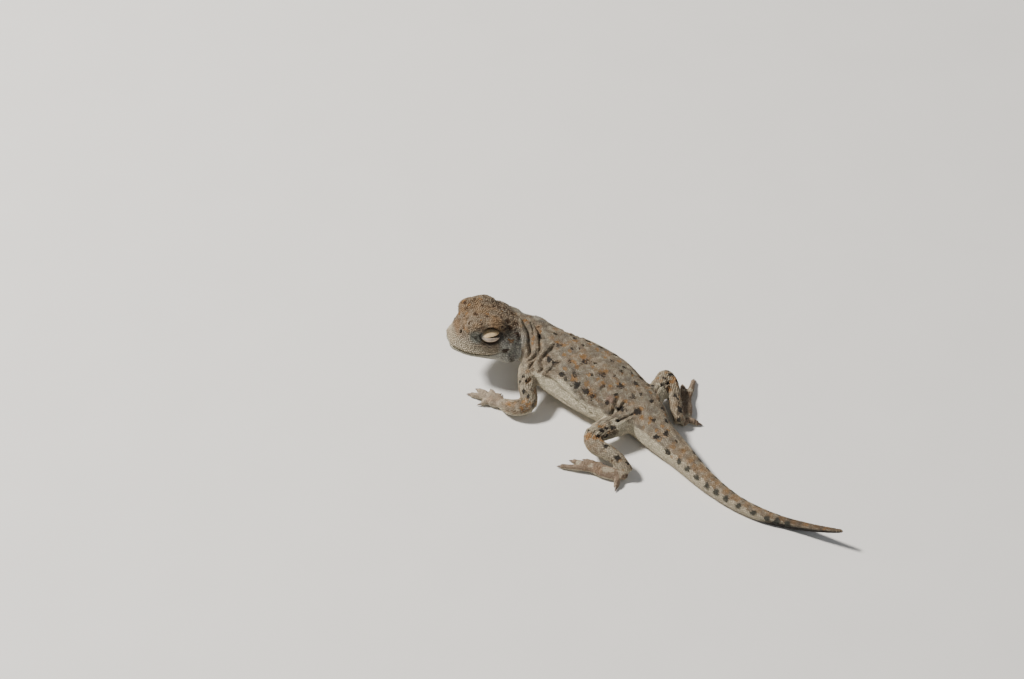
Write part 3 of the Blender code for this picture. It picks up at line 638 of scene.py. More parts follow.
def limb_spot_places(spots):
    return [
        (on_skin(f"{limb}_{side}", along, angle * turn), radius)
        for limb, along, angle, radius in spots for side, turn in (("left", 1), ("right", -1))
    ]


black_places = spot_places(BLACK_SPOTS) + limb_spot_places(LIMB_SPOTS)
rusty_places = spot_places(RUSTY_SPOTS) + limb_spot_places(LIMB_RUST) + head_spot_places(HEAD_RUST)
speck_places = [(place, 1.25 * radius) for place, radius in head_spot_places(HEAD_SPECKS)]
rose_places = spot_places([ROSE_PATCH])
blotch_places = spot_places([
    (along, side * TAIL_BLOTCH_ANGLE, TAIL_BLOTCH_RADIUS) for along in TAIL_BLOTCHES for side in (-1, 1)
])


def mottle(places, size, seed, waves=14):
    """A smooth random field with patches of about this size; its values spread about 1 either side of 0."""
    random = np.random.default_rng(seed)
    total = np.zeros(len(places))
    for _ in range(waves):
        direction = random.normal(size=3)
        direction /= np.linalg.norm(direction)
        wave = 2 * math.pi / (size * random.uniform(1.3, 2.8))
        total += np.sin(places @ direction * wave + random.uniform(0, 2 * math.pi))
    return total * math.sqrt(2 / waves)


def spotted(places, spots, ragged, seed):
    """How far each place lies inside one of the spots, from 0 to 1, with ragged edges."""
    rough = 1.0 + ragged * mottle(places, 0.5, seed)
    mask = np.zeros(len(places))
    for middle, radius in spots:
        near = np.nonzero((np.abs(places - middle) < 1.9 * radius).all(axis=1))[0]
        if len(near):
            apart = np.linalg.norm(places[near] - middle, axis=1) / radius * rough[near]
            mask[near] = np.maximum(mask[near], smoothstep(1.2, 0.8, apart))
    return mask


def mixed(colour, *layers):
    """Rows of colours turned towards each layer's colour in turn, by that layer's share for each row."""
    for other, share in layers:
        share = np.clip(np.asarray(share, float), 0.0, 1.0)[:, None]
        colour = colour * (1 - share) + np.asarray(other) * share
    return colour


def canthus_distance(places):
    """Each place's distance to the smooth grey corner in front of the nearer eye."""
    back, left, up = from_head(places)
    return np.linalg.norm(np.stack(((back - 4.2) * 0.7, np.abs(left) - 5.2, (up - 4.4) * 0.8)), axis=0)


def starts_with(names, *words):
    return np.any([np.char.startswith(names, word) for word in words], axis=0)


def markings(places, normals):
    """The colour of the skin at each place, with painted shade in folds, hollows, sockets and nostrils."""
    names = names_at(places)
    broad, fine = mottle(places, 4.0, 11), mottle(places, 1.1, 12)
    along, angle, _ = LINES["trunk"].locate(places)
    around = np.abs(angle)
    head, neck = np.isin(names, ("head", "lower_jaw")), names == "neck"
    hand, foot = starts_with(names, "hand"), starts_with(names, "foot")
    trunk = starts_with(names, "neck", "torso", "tail")
    tail = smoothstep(60.0, 67.0, along)
    beside_blotch = np.cos((along - TAIL_BLOTCHES[0]) * 2 * math.pi / TAIL_BLOTCH_GAP)
    edge = np.interp(along, PALE_EDGE_ALONG, PALE_EDGE) + 2.0 * fine + tail * 9.0 * beside_blotch
    black_tip = smoothstep(TAIL_BLACK_FROM, TAIL_BLACK_FROM + 3.0, along + 0.05 * around)
    colour = mixed(
        np.tile(SAND, (len(places), 1)),
        (ASH, 0.42 + 0.3 * fine + 0.2 * broad),
        (CREAM, 0.10 + 0.16 * mottle(places, 0.8, 13)),
        (TAN, trunk * tail * (0.30 - 0.22 * beside_blotch)),
        (RUST, trunk * tail * 0.18 * smoothstep(0.2, -0.8, beside_blotch)),
        (CREAM, trunk * smoothstep(edge - 2.0, edge + 5.0, around) * (1.0 - 0.35 * tail)),
        (UMBER, neck * 0.14),
        (UMBER, trunk * 0.6 * smoothstep(TAIL_BLACK_FROM - 5.0, TAIL_BLACK_FROM + 4.0, along)),
        (SOOT, trunk * black_tip * smoothstep(50, 80, around) * 0.95),
    )
    back, left, up = from_head(places)
    above_mouth = up - mouth_height(back)
    skull = mixed(
        np.tile(TAN, (len(places), 1)),
        (SAND, 0.5 + 0.25 * fine + 0.15 * broad),
        (ASH, smoothstep(10.0, 13.0, back + 0.35 * np.abs(left)) * 0.5),
        (PINKISH, smoothstep(3.0, 0.5, back) * 0.3),
        (CHALK, smoothstep(5.6, 3.2, up) * smoothstep(9.0, 10.5, back) * 0.85),
        (CHALK, smoothstep(5.2, 3.4, up + 0.1 * back) * smoothstep(1.5, 3.0, np.abs(left)) * 0.25),
        (CREAM, smoothstep(3.2, 1.6, up + 0.18 * back - 0.4) * smoothstep(12.2, 10.4, back) * 0.5),
        (CHALK, smoothstep(0.2, -0.5, above_mouth) * 0.8),
        (OLIVE, bell(above_mouth, 0.3) * (back < MOUTH_CORNER) * head * smoothstep(9.5, 5.0, back) * 0.9),
        (SLATE, smoothstep(1.9, 1.0, canthus_distance(places)) * 0.95),
    )
    # Painted shade: the sunken skin at the rear of each eye opening is painted dark, and each nostril's pit is
    # painted black.
    for side in (1, -1):
        share, _, across = in_opening(places, side)
        rim = np.where(across > 0.3, 0.84, 1.0)
        skull = mixed(
            skull,
            (SOOT, smoothstep(rim, rim - 0.12, share) * smoothstep(5.8, 7.6, back) * 0.62),
            (SOOT, smoothstep(0.6, 0.36, from_face_spot(places, NOSTRIL, side))),
        )
    # Painted shade: the hollows behind the jaws are painted dark.
    hollow = np.full(len(places), 9.0)
    for path in hollow_paths:
        near, apart, _ = near_path(places, path, 2.5)
        hollow[near] = np.minimum(hollow[near], apart)
    blotchy = smoothstep(0.85, 1.3, mottle(places, 0.9, 17)) * smoothstep(9.0, 11.0, back) * (up > 1.0)
    roll = smoothstep(13.0, 14.5, along) * smoothstep(19.5, 17.5, along) * smoothstep(25, 50, around)
    skull = mixed(
        skull,
        (UMBER, smoothstep(0.95, 0.3, hollow) * 0.6),
        (UMBER, blotchy * 0.35),
        (UMBER, smoothstep(0.8, 1.4, mottle(places, 0.55, 18)) * smoothstep(2.5, 4.5, up) * 0.55),
    )
    colour = np.where(head[:, None], skull, colour)
    colour = mixed(colour, (CHALK, neck * roll * smoothstep(115, 80, around) * 0.4))
    bands = np.sin(LINES["foot_left"].locate(places)[0] * 2 * math.pi / 0.62)
    limbs = mixed(
        colour,
        (TAN, 0.14 + 0.2 * fine),
        (CREAM, 0.16 + 0.1 * broad),
        (RUST, smoothstep(1.0, 1.7, mottle(places, 0.9, 14)) * 0.5),
        (SOOT, smoothstep(1.2, 1.6, mottle(places, 0.8, 15)) * 0.5),
        (PINKISH, foot * 0.7),
        (UMBER, foot * smoothstep(0.2, 0.9, bands) * 0.3),
        (CREAM, foot * smoothstep(0.9, 1.5, mottle(places, 1.2, 16)) * 0.5),
        (PALM, hand * 0.6),
        (CREAM, smoothstep(0.15, -0.45, normals[:, 2]) * 0.9),
    )
    flush = smoothstep(1.25, 1.7, mottle(places, 1.3, 23)) * trunk * (around < 62) * 0.35
    return mixed(
        np.where((trunk | head)[:, None], colour, limbs),
        (RUST, spotted(places, rusty_places, 0.22, 21) * (0.8 - 0.35 * tail * trunk)),
        (ROSE, spotted(places, rose_places, 0.1, 22) * 0.8),
        (RUST, flush),
        (UMBER, spotted(places, speck_places, 0.2, 24) * 0.9),
        (SOOT, spotted(places, black_places, 0.2, 25) * 0.94),
        (BLOTCH, spotted(places, blotch_places, 0.12, 26) * 0.92),
        # painted shade: the grooves of the folds are painted dark by their depth
        (PAINTED_FOLD_SHADE, fold_shadow(places) * 0.9),
    )


def tint(mesh, colours):
    """Keeps a colour for each vertex as the mesh's Tint attribute."""
    rows = np.ones((len(mesh.vertices), 4), np.float32)
    rows[:, :3] = np.clip(colours, 0.0, 1.0)
    attribute = mesh.color_attributes.new("Tint", "FLOAT_COLOR", "POINT")
    attribute.data.foreach_set("color", rows.ravel())


class Field:
    """A node's output socket that can be used in sums."""

    def __init__(self, tree, socket):
        self.tree = tree
        self.socket = socket

    def _maths(self, operation, *values):
        node = self.tree.nodes.new("ShaderNodeMath")
        node.operation = operation
        for place, value in zip(node.inputs, values):
            if isinstance(value, Field):
                self.tree.links.new(value.socket, place)
            else:
                place.default_value = value
        return Field(self.tree, node.outputs[0])

    def __add__(self, other):
        return self._maths("ADD", self, other)

    __radd__ = __add__

    def __mul__(self, other):
        return self._maths("MULTIPLY", self, other)

    __rmul__ = __mul__


class Finish:
    """A material under construction."""

    def __init__(self, name, **shader_values):
        self.material = bpy.data.materials.new(name)
        self.material.use_nodes = True
        self.tree = self.material.node_tree
        self.shader = self.tree.nodes["Principled BSDF"]
        for socket, value in shader_values.items():
            self.shader.inputs[socket.replace("_", " ")].default_value = value
        self.place = self.node("ShaderNodeTexCoord", {}, {}, "Object")

    def node(self, kind, settings, sockets, output=0):
        node = self.tree.nodes.new(kind)
        for setting, value in settings.items():
            setattr(node, setting, value)
        for socket, value in sockets.items():
            if isinstance(value, Field):
                self.tree.links.new(value.socket, node.inputs[socket])
            else:
                node.inputs[socket].default_value = value
        return Field(self.tree, node.outputs[output])

    def own_colour(self):
        return self.node("ShaderNodeAttribute", {"attribute_name": "Tint"}, {}, "Color")

    def noise(self, size, detail=2.0):
        """Noise with patches of about this size, in millimetres."""
        sockets = {"Vector": self.place, "Scale": 1.0 / (size * MM), "Detail": detail}
        return self.node("ShaderNodeTexNoise", {}, sockets, "Fac")

    def shaded(self, colour, amount):
        """The colour made lighter and darker by an amount between 0 and about 2."""
        grey = self.node("ShaderNodeCombineColor", {}, {"Red": amount, "Green": amount, "Blue": amount})
        settings = {"data_type": "RGBA", "blend_type": "MULTIPLY"}
        return self.node("ShaderNodeMix", settings, {0: 1.0, 6: colour, 7: grey}, 2)

    def feed(self, socket, field):
        self.tree.links.new(field.socket, self.shader.inputs[socket])

    def bump(self, height, strength, distance):
        sockets = {"Height": height, "Strength": strength, "Distance": distance * MM}
        self.feed("Normal", self.node("ShaderNodeBump", {}, sockets, "Normal"))


def scaly_finish(name, roughness, depth):
    """Dry horny skin in its own tints, with fine grain in colour, gloss and relief."""
    finish = Finish(name, Specular_IOR_Level=0.14)
    colour = finish.own_colour()
    grain = finish.noise(0.16)
    patches = finish.noise(1.2)
    finish.feed("Base Color", finish.shaded(colour, 0.72 + grain * 0.34 + patches * 0.22))
    finish.feed("Roughness", roughness + grain * 0.2)
    finish.bump(grain, 0.5, depth)
    return finish.material


skin_finish = scaly_finish("lizard skin", 0.6, 0.05)
skin.data.materials.append(skin_finish)
# The skin under the scales is painted darker than its markings: painted shade in the gaps between the scales.
SKIN_SHADE = 0.55
tint(skin.data, markings(places_of(skin.data), normals_of(skin.data)) * SKIN_SHADE)
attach(skin, "root")
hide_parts(*FLESH)

# The unwrap that places each scale's own patch of colour
# Every scale gets a small patch of its own on an unwrap, set where its root lies on an unwrap of the skin.
bpy.ops.object.select_all(action="DESELECT")
skin.select_set(True)
bpy.context.view_layer.objects.active = skin
skin.data.uv_layers.new(name="unwrap")
bpy.ops.object.mode_set(mode="EDIT")
bpy.ops.mesh.select_all(action="SELECT")
bpy.ops.uv.smart_project(angle_limit=math.radians(66), island_margin=0.001)
bpy.ops.object.mode_set(mode="OBJECT")
PATCH = 0.003


def corner_data(mesh):
    """Each triangle's vertex numbers and unwrapped corners."""
    mesh.calc_loop_triangles()
    loops = np.empty(len(mesh.loop_triangles) * 3, np.int32)
    mesh.loop_triangles.foreach_get("loops", loops)
    corners = np.empty(len(mesh.loop_triangles) * 3, np.int32)
    mesh.loop_triangles.foreach_get("vertices", corners)
    return corners.reshape(-1, 3), loops.reshape(-1, 3)


# The scales
# Small horny granules stand close together over the whole animal. They are smooth and low on the belly, keeled
# and pointed backwards on back, limbs and tail, and blunt spines on the temples and the cheek pouches.
SCALE_SEED = 7
SPACING = {
    "back": 0.315,
    "belly": 0.42,
    "neck": 0.315,
    "tail": 0.36,
    "limb": 0.40,
    "paw": 0.27,
    "crown": 0.365,
    "lip": 0.37,
    "temple": 0.42,
    "socket": 0.25,
}
LABIAL = 0.42
TRIES = 9 / 0.36 ** 2
BELLY_FROM = 74
TAIL_TAPER = 0.0022


def spacing_at(places):
    """How far apart the scales stand at each place."""
    names = names_at(places)
    along, angle, _ = LINES["trunk"].locate(places)
    back, _, up = from_head(places)
    face = np.where(up > 5.6, SPACING["crown"], SPACING["lip"])
    face = np.where((back > 9.8) & (up > -2.0), SPACING["temple"], face)
    face = np.where((eye_distance(places) < 2.9) | (canthus_distance(places) < 1.2), SPACING["socket"], face)
    spacing = np.select(
        (
            np.isin(names, ("head", "lower_jaw")), starts_with(names, "hand", "foot"),
            starts_with(names, "tail"), names == "neck", names != "torso", np.abs(angle) > BELLY_FROM,
        ),
        (
            face, SPACING["paw"],
            SPACING["tail"] - TAIL_TAPER * np.clip(along - 60, 0, 40), SPACING["neck"], SPACING["limb"],
            SPACING["belly"],
        ),
        SPACING["back"],
    )
    return spacing * (1.0 - 0.35 * fold_shadow(places))


def eye_distance(places):
    """Each place's distance to the middle of the nearer eye."""
    return np.minimum(from_face_spot(places, EYE, 1), from_face_spot(places, EYE, -1))


def evenly_along(points, gap):
    """Points at equal gaps along a path of close points."""
    steps = np.linalg.norm(np.diff(points, axis=0), axis=1)
    along = np.concatenate([[0.0], np.cumsum(steps)])
    wanted = np.linspace(0.0, along[-1], max(2, round(along[-1] / gap) + 1))
    return np.stack([np.interp(wanted, along, points[:, axis]) for axis in range(3)], axis=1)


def labial_row(above):
    """Places of the scales that line the mouth, from one corner round the snout to the other."""
    points = []
    for degrees in np.arange(-118, 119, 1.0):
        turn = math.radians(degrees)
        direction = math.cos(turn) * HEAD_FORWARD + math.sin(turn) * HEAD_LEFT
        back = 8.0
        for _ in range(4):
            start = on_head(8.0, 0.0, float(mouth_height(back)) + above)
            hit = skin_tree.ray_cast(Vector(start * MM), Vector(direction))
            back = from_head(np.array([hit[0]]) / MM)[0][0]
        points.append(np.array(hit[0]) / MM)
    points = np.array(points)
    return evenly_along(points[from_head(points)[0] < MOUTH_CORNER - 0.4], LABIAL)


def near_tree(spots):
    """A search tree of the spots."""
    tree = KDTree(len(spots))
    for i, spot in enumerate(spots):
        tree.insert(spot, i)
    tree.balance()
    return tree


def thinned(spots, spacing):
    """The spots left when each in turn clears its surroundings of later ones, and their spacing."""
    tree = near_tree(spots)
    free = np.ones(len(spots), bool)
    kept = []
    for i in range(len(spots)):
        if free[i]:
            kept.append(i)
            for _, j, _ in tree.find_range(spots[i], spacing[i] * 0.9):
                free[j] = False
    return spots[kept], spacing[kept]


def scatter(mesh, first):
    """Places spread evenly over the mesh, as far apart as the spacing there, after the first ones."""
    random = np.random.default_rng(SCALE_SEED)
    places = places_of(mesh)
    corners, loops = corner_data(mesh)
    a, b, c = (places[corners[:, k]] for k in range(3))
    areas = np.linalg.norm(np.cross(b - a, c - a), axis=1) / 2
    count = int(TRIES * areas.sum())
    chosen = np.searchsorted(np.cumsum(areas), random.uniform(0, areas.sum(), count))
    chosen = np.minimum(chosen, len(areas) - 1)
    u, v = random.uniform(size=(2, count))
    flip = u + v > 1
    u[flip], v[flip] = 1 - u[flip], 1 - v[flip]
    spots = a[chosen] + u[:, None] * (b - a)[chosen] + v[:, None] * (c - a)[chosen]
    spots = np.vstack([first, spots])
    return thinned(spots, spacing_at(spots))


def settled(spots, spacing, rounds, fixed):
    """The spots after each has moved away from its close neighbours along the skin."""
    for _ in range(rounds):
        tree = near_tree(spots)
        moved = spots.copy()
        for i in range(fixed, len(spots)):
            push = np.zeros(3)
            for other, j, distance in tree.find_range(spots[i], spacing[i] * 1.35):
                if j != i and distance > 1e-6:
                    push += (spots[i] - np.array(other)) / distance * max(0.0, spacing[i] * 1.15 - distance)
            moved[i] = nearest_on_skin(spots[i] + 0.3 * push)
        spots = moved
    return spots


def scale_shape(lean, crown, peak, point, lift):
    """One scale as a low closed dome: x runs backwards, z out of the skin, and its half width is 1."""
    bm = bmesh.new()
    bmesh.ops.create_cone(bm, cap_ends=True, segments=6, radius1=1.0, radius2=0.88, depth=0.7)
    top = max(bm.faces, key=lambda face: face.calc_center_median().z)
    bmesh.ops.inset_region(bm, faces=[top], thickness=1.0 - crown - 0.12, depth=0.28)
    tip = bmesh.ops.poke(bm, faces=[top])["verts"][0]
    tip.co.z += peak
    bmesh.ops.rotate(bm, verts=bm.verts, matrix=Matrix.Rotation(math.pi / 2, 3, "Z"))
    for vertex in bm.verts:
        if vertex.co.x > 0.6:
            vertex.co.x *= 1.0 + point
        if vertex.co.z > 0:
            vertex.co.x += lean * vertex.co.z
            vertex.co.z += lift * vertex.co.x
    bmesh.ops.triangulate(bm, faces=bm.faces)
    bmesh.ops.recalc_face_normals(bm, faces=bm.faces)
    bm.verts.index_update()
    verts = np.array([vertex.co[:] for vertex in bm.verts])
    triangles = np.array([[vertex.index for vertex in face.verts] for face in bm.faces])
    bm.free()
    return verts, triangles


GRANULE = scale_shape(lean=0.4, crown=0.36, peak=0.24, point=0.12, lift=0.12)
KEELED = scale_shape(lean=0.5, crown=0.35, peak=0.22, point=0.35, lift=0.22)
SPIKY = scale_shape(lean=0.6, crown=0.35, peak=0.40, point=0.15, lift=0.15)
FLAT = scale_shape(lean=0.2, crown=0.55, peak=0.03, point=0.15, lift=0.12)
# Scales are tinted from painted shade at the foot up to this share of their colour at the crown
CROWN_SHADE = 0.86


def scale_coat(name, spots, lie, out, shape, sizes, foot_shade, colours, unwrap, material):
    """Joins one scale per spot into a mesh; a scale's foot is darker and its crown paler than its colour."""
    length, width, height = sizes
    verts, triangles = shape
    count, per = len(spots), len(verts)
    lie = rows_of_unit_length(lie - out * (lie * out).sum(axis=1)[:, None])
    across = np.cross(out, lie)
    body = (
        spots[:, None, :]
        + (length[:, None] * verts[:, 0])[..., None] * lie[:, None, :]
        + (width[:, None] * verts[:, 1])[..., None] * across[:, None, :]
        + (height[:, None] * verts[:, 2])[..., None] * out[:, None, :]
    )
    body[..., 2] = np.maximum(body[..., 2], 0.01)
    mesh = bpy.data.meshes.new(name)
    mesh.vertices.add(count * per)
    mesh.vertices.foreach_set("co", (body * MM).astype(np.float32).ravel())
    faces = (np.arange(count)[:, None, None] * per + triangles[None]).reshape(-1, 3)
    mesh.loops.add(faces.size)
    mesh.loops.foreach_set("vertex_index", faces.astype(np.int32).ravel())
    mesh.polygons.add(len(faces))
    mesh.polygons.foreach_set("loop_start", np.arange(0, faces.size, 3, dtype=np.int32))
    mesh.update(calc_edges=True)
    # Painted shade: each scale is darker at its foot, between its neighbours, and lighter towards its crown.
    rise = np.clip((verts[:, 2] + 0.1) / 0.75, 0.0, 1.0)
    shade = foot_shade + (CROWN_SHADE - foot_shade) * rise ** 0.7
    tint(mesh, (colours[:, None, :] * shade[None, :, None]).reshape(-1, 3))
    patch = verts[:, :2] / np.abs(verts[:, :2]).max() * PATCH / 2
    corners = (unwrap[:, None, :] + patch[None]).reshape(-1, 2)
    layer = mesh.uv_layers.new(name="OFBake")
    layer.data.foreach_set("uv", corners[faces.ravel()].astype(np.float32).ravel())
    piece = new_object(name, mesh, material)
    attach(piece, "root")
    return piece


def unwrap_at(mesh, spots):
    """Where each spot lies on the mesh's unwrap, and the skin's normal there."""
    corners, loops = corner_data(mesh)
    uv = np.empty(len(mesh.loops) * 2, np.float32)
    mesh.uv_layers["unwrap"].data.foreach_get("uv", uv)
    uv = uv.reshape(-1, 2)
    normals = normals_of(mesh)
    faces = np.array([skin_tree.find_nearest(Vector(spot * MM))[2] for spot in spots])
    places = places_of(mesh)
    a, b, c = (places[corners[faces, k]] for k in range(3))
    weights = []
    for first, second in ((b, c), (c, a), (a, b)):
        weights.append(np.linalg.norm(np.cross(first - spots, second - spots), axis=1))
    weights = np.stack(weights, axis=1)
    weights /= weights.sum(axis=1)[:, None]
    flat = sum(uv[loops[faces, k]] * weights[:, k : k + 1] for k in range(3))
    out = sum(normals[corners[faces, k]] * weights[:, k : k + 1] for k in range(3))
    return flat, rows_of_unit_length(out)


def lie_at(places, names):
    """The way scales point at each place: back over the head and trunk, and out along the limbs."""
    lie = np.tile(-HEAD_FORWARD, (len(places), 1))
    for name in np.unique(names):
        if name in LINE_OF:
            mask = names == name
            lie[mask] = LINES[LINE_OF[name]].locate(places[mask])[2]
    return lie


scale_finish = scaly_finish("horny scales", 0.5, 0.03)
labials = np.vstack([labial_row(0.30), labial_row(-0.32)])
spots, spacing = scatter(skin.data, labials)
spots = settled(spots, spacing, 5, len(labials))
unwrap, out = unwrap_at(skin.data, spots)
names = names_at(spots)
lie = lie_at(spots, names)
colours = markings(spots, out)
back, left, up = from_head(spots)
random = np.random.default_rng(SCALE_SEED + 1)
uneven = 0.14 + 0.10 * (names == "head") * (back > 10.0)
colours = colours * (1.0 + uneven * random.normal(size=len(spots))).clip(0.6, 1.45)[:, None]
along, angle, _ = LINES["trunk"].locate(spots)
around = np.abs(angle)
head = np.isin(names, ("head", "lower_jaw"))
trunk = np.isin(names, ("neck", "torso"))
tail, paw = starts_with(names, "tail"), starts_with(names, "hand", "foot")
limb = ~(head | trunk | tail)
in_mouth = (np.abs(up - mouth_height(back)) < 0.12) & (back < MOUTH_CORNER) & head
shown = ~in_mouth & ~((spots[:, 2] < 0.25) & (out[:, 2] < -0.7))
shown &= fold_shadow(spots) < 0.86
shown &= along_claws(spots + 0.1 * out)[0] < 0.3
for side in (1, -1):
    shown &= in_opening(spots, side)[0] > 0.84
    shown &= from_face_spot(spots, NOSTRIL, side) > 0.4
spiky = head & (back > 10.4) & (up > -1.8) & (np.abs(left) > 3.8)
spiky |= (names == "neck") & (along < 18.5) & (around > 35) & (around < 100)
smooth = (trunk & (around > 76)) | (head & (up < mouth_height(back) - 0.5))
smooth |= ~head & ~trunk & (out[:, 2] < -0.35)
smooth &= ~spiky
granular = (head & ~spiky & ~smooth) | ((names == "neck") & ~smooth)
keeled = ~(spiky | smooth | granular)
# Each coat: its scales, their shape, their half length, half width and height in shares of the spacing, and how
# dark their feet are painted, as shade between the scales
COATS = (
    ("temple_scales", spiky, SPIKY, (0.66, 0.58, 0.62), 0.30),
    ("face_scales", granular & head, GRANULE, (0.68, 0.62, 0.50), 0.30),
    ("neck_scales", granular & ~head, GRANULE, (0.68, 0.60, 0.44), 0.36),
    ("belly_scales", smooth & (trunk | head), FLAT, (0.66, 0.60, 0.24), 0.56),
    ("tail_belly_scales", smooth & tail, FLAT, (0.66, 0.58, 0.24), 0.54),
    ("sole_scales", smooth & limb, FLAT, (0.62, 0.58, 0.34), 0.44),
    ("back_scales_left", keeled & trunk & (angle < 0), KEELED, (0.64, 0.58, 0.40), 0.38),
    ("back_scales_right", keeled & trunk & (angle >= 0), KEELED, (0.64, 0.58, 0.40), 0.38),
    ("tail_scales", keeled & tail, KEELED, (0.70, 0.57, 0.40), 0.38),
    ("limb_scales", keeled & limb & ~paw, KEELED, (0.68, 0.57, 0.40), 0.34),
    ("hand_scales", keeled & paw, KEELED, (0.66, 0.74, 0.40), 0.36),
)
for name, chosen, shape, shares, foot_shade in COATS:
    pick = chosen & shown
    size = spacing[pick] * random.normal(1.0, 0.07, pick.sum()).clip(0.8, 1.2)
    scale_coat(
        name, spots[pick], lie[pick], out[pick], shape, [size * share for share in shares], foot_shade,
        colours[pick], unwrap[pick], scale_finish,
    )

# Eyes
# Each eye is a dark, wet ball with a round pupil, deep in its socket and nearly covered by the lids.
EYEBALL_RADIUS = 1.15
EYEBALL_MIDDLE = (7.45, 5.25, 4.85)
EYE_OUTWARD = (0.12, 1.0, 0.25)
PUPIL_COLOUR = (0.012, 0.010, 0.009)
IRIS_COLOUR = (0.16, 0.09, 0.035)


eye_finish = Finish("eye", Roughness=0.12, Coat_Weight=0.6, Coat_Roughness=0.05)
streaks = eye_finish.noise(0.5, 4.0)
eye_finish.feed("Base Color", eye_finish.shaded(eye_finish.own_colour(), 0.6 + streaks * 0.8))
for side, word in ((1, "left"), (-1, "right")):
    centre = on_head(EYEBALL_MIDDLE[0], side * EYEBALL_MIDDLE[1], EYEBALL_MIDDLE[2])
    outward = EYE_OUTWARD[0] * HEAD_FORWARD + side * EYE_OUTWARD[1] * HEAD_LEFT + EYE_OUTWARD[2] * HEAD_UP
    outward /= np.linalg.norm(outward)
    bm = bmesh.new()
    bmesh.ops.create_uvsphere(bm, u_segments=48, v_segments=32, radius=EYEBALL_RADIUS * MM)
    turn = Vector(outward).to_track_quat("Z", "Y").to_matrix().to_4x4()
    bm.transform(Matrix.Translation(Vector(centre * MM)) @ turn)
    ball = new_piece(f"eyeball_{word}", bm, eye_finish.material)
    facing = (places_of(ball.data) - centre) @ outward / EYEBALL_RADIUS
    iris = smoothstep(0.62, 0.74, facing) * smoothstep(0.93, 0.88, facing)
    tint(ball.data, mixed(np.tile(PUPIL_COLOUR, (len(facing), 1)), (IRIS_COLOUR, iris)))
    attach(ball, "root")
    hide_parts(f"eye_{word}")

# Lids
# The thick lids bulge over the eye like half shells. The upper one is tan and covers most of it, the lower one
# is cream, and both are set with fine granules, with a fringe of larger ones along the narrow opening.
LID_HALF_SIZES = (2.2, 1.8, 1.3)
# The plane of each lid's margin: its normal back, out and up, and how far it lies from the lid's middle
LID_MARGINS = {"upper": ((-0.152, -0.375, 0.914), 0.222, 1), "lower": ((0.065, -0.552, 0.832), -0.488, -1)}
LID_ROOT = -0.9
LID_SCALE = 0.17
LID_TRIES = 12000
LID_SCALE_SHARES = (0.62, 0.58, 0.30)
# How dark the feet of the lid's granules are painted, as shade between them
LID_FOOT_SHADE = 0.5
LID_COLOURS = {"upper": (0.88, 0.66, 0.38), "lower": (0.84, 0.68, 0.53)}
LID_FRONT_COLOUR = (0.33, 0.335, 0.31)


def lid(side, word):
    """A rounded shell over the eye, cut off along its margin and rooted in the socket."""
    bm = bmesh.new()
    back, out, up = LID_HALF_SIZES
    squashed = Matrix.Diagonal(Vector((back, out, up, 1 / MM)) * MM)
    bmesh.ops.create_uvsphere(bm, u_segments=72, v_segments=48, radius=1.0, matrix=squashed)
    (back, out, up), offset, keep = LID_MARGINS[word]
    normal = Vector((-back, side * out, up)).normalized()
    point = normal * offset * MM
    trims = ((point, normal * keep), (Vector((0, side * LID_ROOT * MM, 0)), Vector((0, side, 0))))
    for place, kept_side in trims:
        whole = bm.verts[:] + bm.edges[:] + bm.faces[:]
        found = bmesh.ops.bisect_plane(bm, geom=whole, plane_co=place, plane_no=kept_side, clear_inner=True)
        rim = [item for item in found["geom_cut"] if isinstance(item, bmesh.types.BMEdge)]
        bmesh.ops.contextual_create(bm, geom=rim)
    bmesh.ops.recalc_face_normals(bm, faces=bm.faces)
    margin = [
        edge for edge in bm.edges
        if len(edge.link_faces) == 2 and edge.calc_face_angle(0.0) > math.radians(25)
        and all(abs((vertex.co - point).dot(normal)) < 0.01 * MM for vertex in edge.verts)
    ]
    bmesh.ops.bevel(bm, geom=margin, offset=0.13 * MM, segments=3, profile=0.5, affect="EDGES", material=-1)
    bmesh.ops.triangulate(bm, faces=[face for face in bm.faces if len(face.verts) > 4])
    head_turn = Matrix([HEAD_FORWARD, HEAD_LEFT, HEAD_UP]).transposed().to_4x4()
    middle = on_head(LID_MIDDLE[0], side * LID_MIDDLE[1], LID_MIDDLE[2])
    bm.transform(Matrix.Translation(Vector(middle * MM)) @ head_turn)
    return bm


def in_lid_axes(places, side):
    """Back, out and up from the lid's middle, one column each."""
    back, left, up = from_head(places)
    return back - LID_MIDDLE[0], side * left - LID_MIDDLE[1], up - LID_MIDDLE[2]


def margin_gap(places, side, word):
    """Each place's distance from the margin's plane, on the lid's own side."""
    (back, out, up), offset, keep = LID_MARGINS[word]
    across = np.stack(in_lid_axes(places, side), axis=1) @ np.array((back, out, up))
    return keep * (across - offset)


def lid_colours(places, side, word):
    back = in_lid_axes(places, side)[0]
    return mixed(
        np.tile(LID_COLOURS[word], (len(places), 1)),
        (LID_FRONT_COLOUR, smoothstep(-1.5, -2.15, back)),
        (LID_FRONT_COLOUR, 0.12 + 0.1 * mottle(places, 0.7, 32)),
        # painted shade along the margin, where the lid turns into the slit between the lids
        (UMBER, smoothstep(0.10, 0.0, margin_gap(places, side, word)) * 0.7),
    )


def margin_row(side, word, gap):
    """Places along the lid's margin, just inside it, from the front corner to the rear one."""
    (back, out, up), offset, keep = LID_MARGINS[word]
    normal = np.array((back, out, up))
    points = []
    for turn in np.radians(np.arange(-85, 86, 1.0)):
        low, high = -0.5 * math.pi, 0.5 * math.pi
        for _ in range(30):
            middle = (low + high) / 2
            place = np.array(LID_HALF_SIZES) * np.array((
                math.sin(turn) * math.cos(middle), math.cos(turn) * math.cos(middle), math.sin(middle)
            ))
            if place @ normal > offset + keep * 0.07:
                high = middle
            else:
                low = middle
        points.append(on_head(
            LID_MIDDLE[0] + place[0], side * (LID_MIDDLE[1] + place[1]), LID_MIDDLE[2] + place[2]
        ))
    return evenly_along(np.array(points)[4:-4], gap)


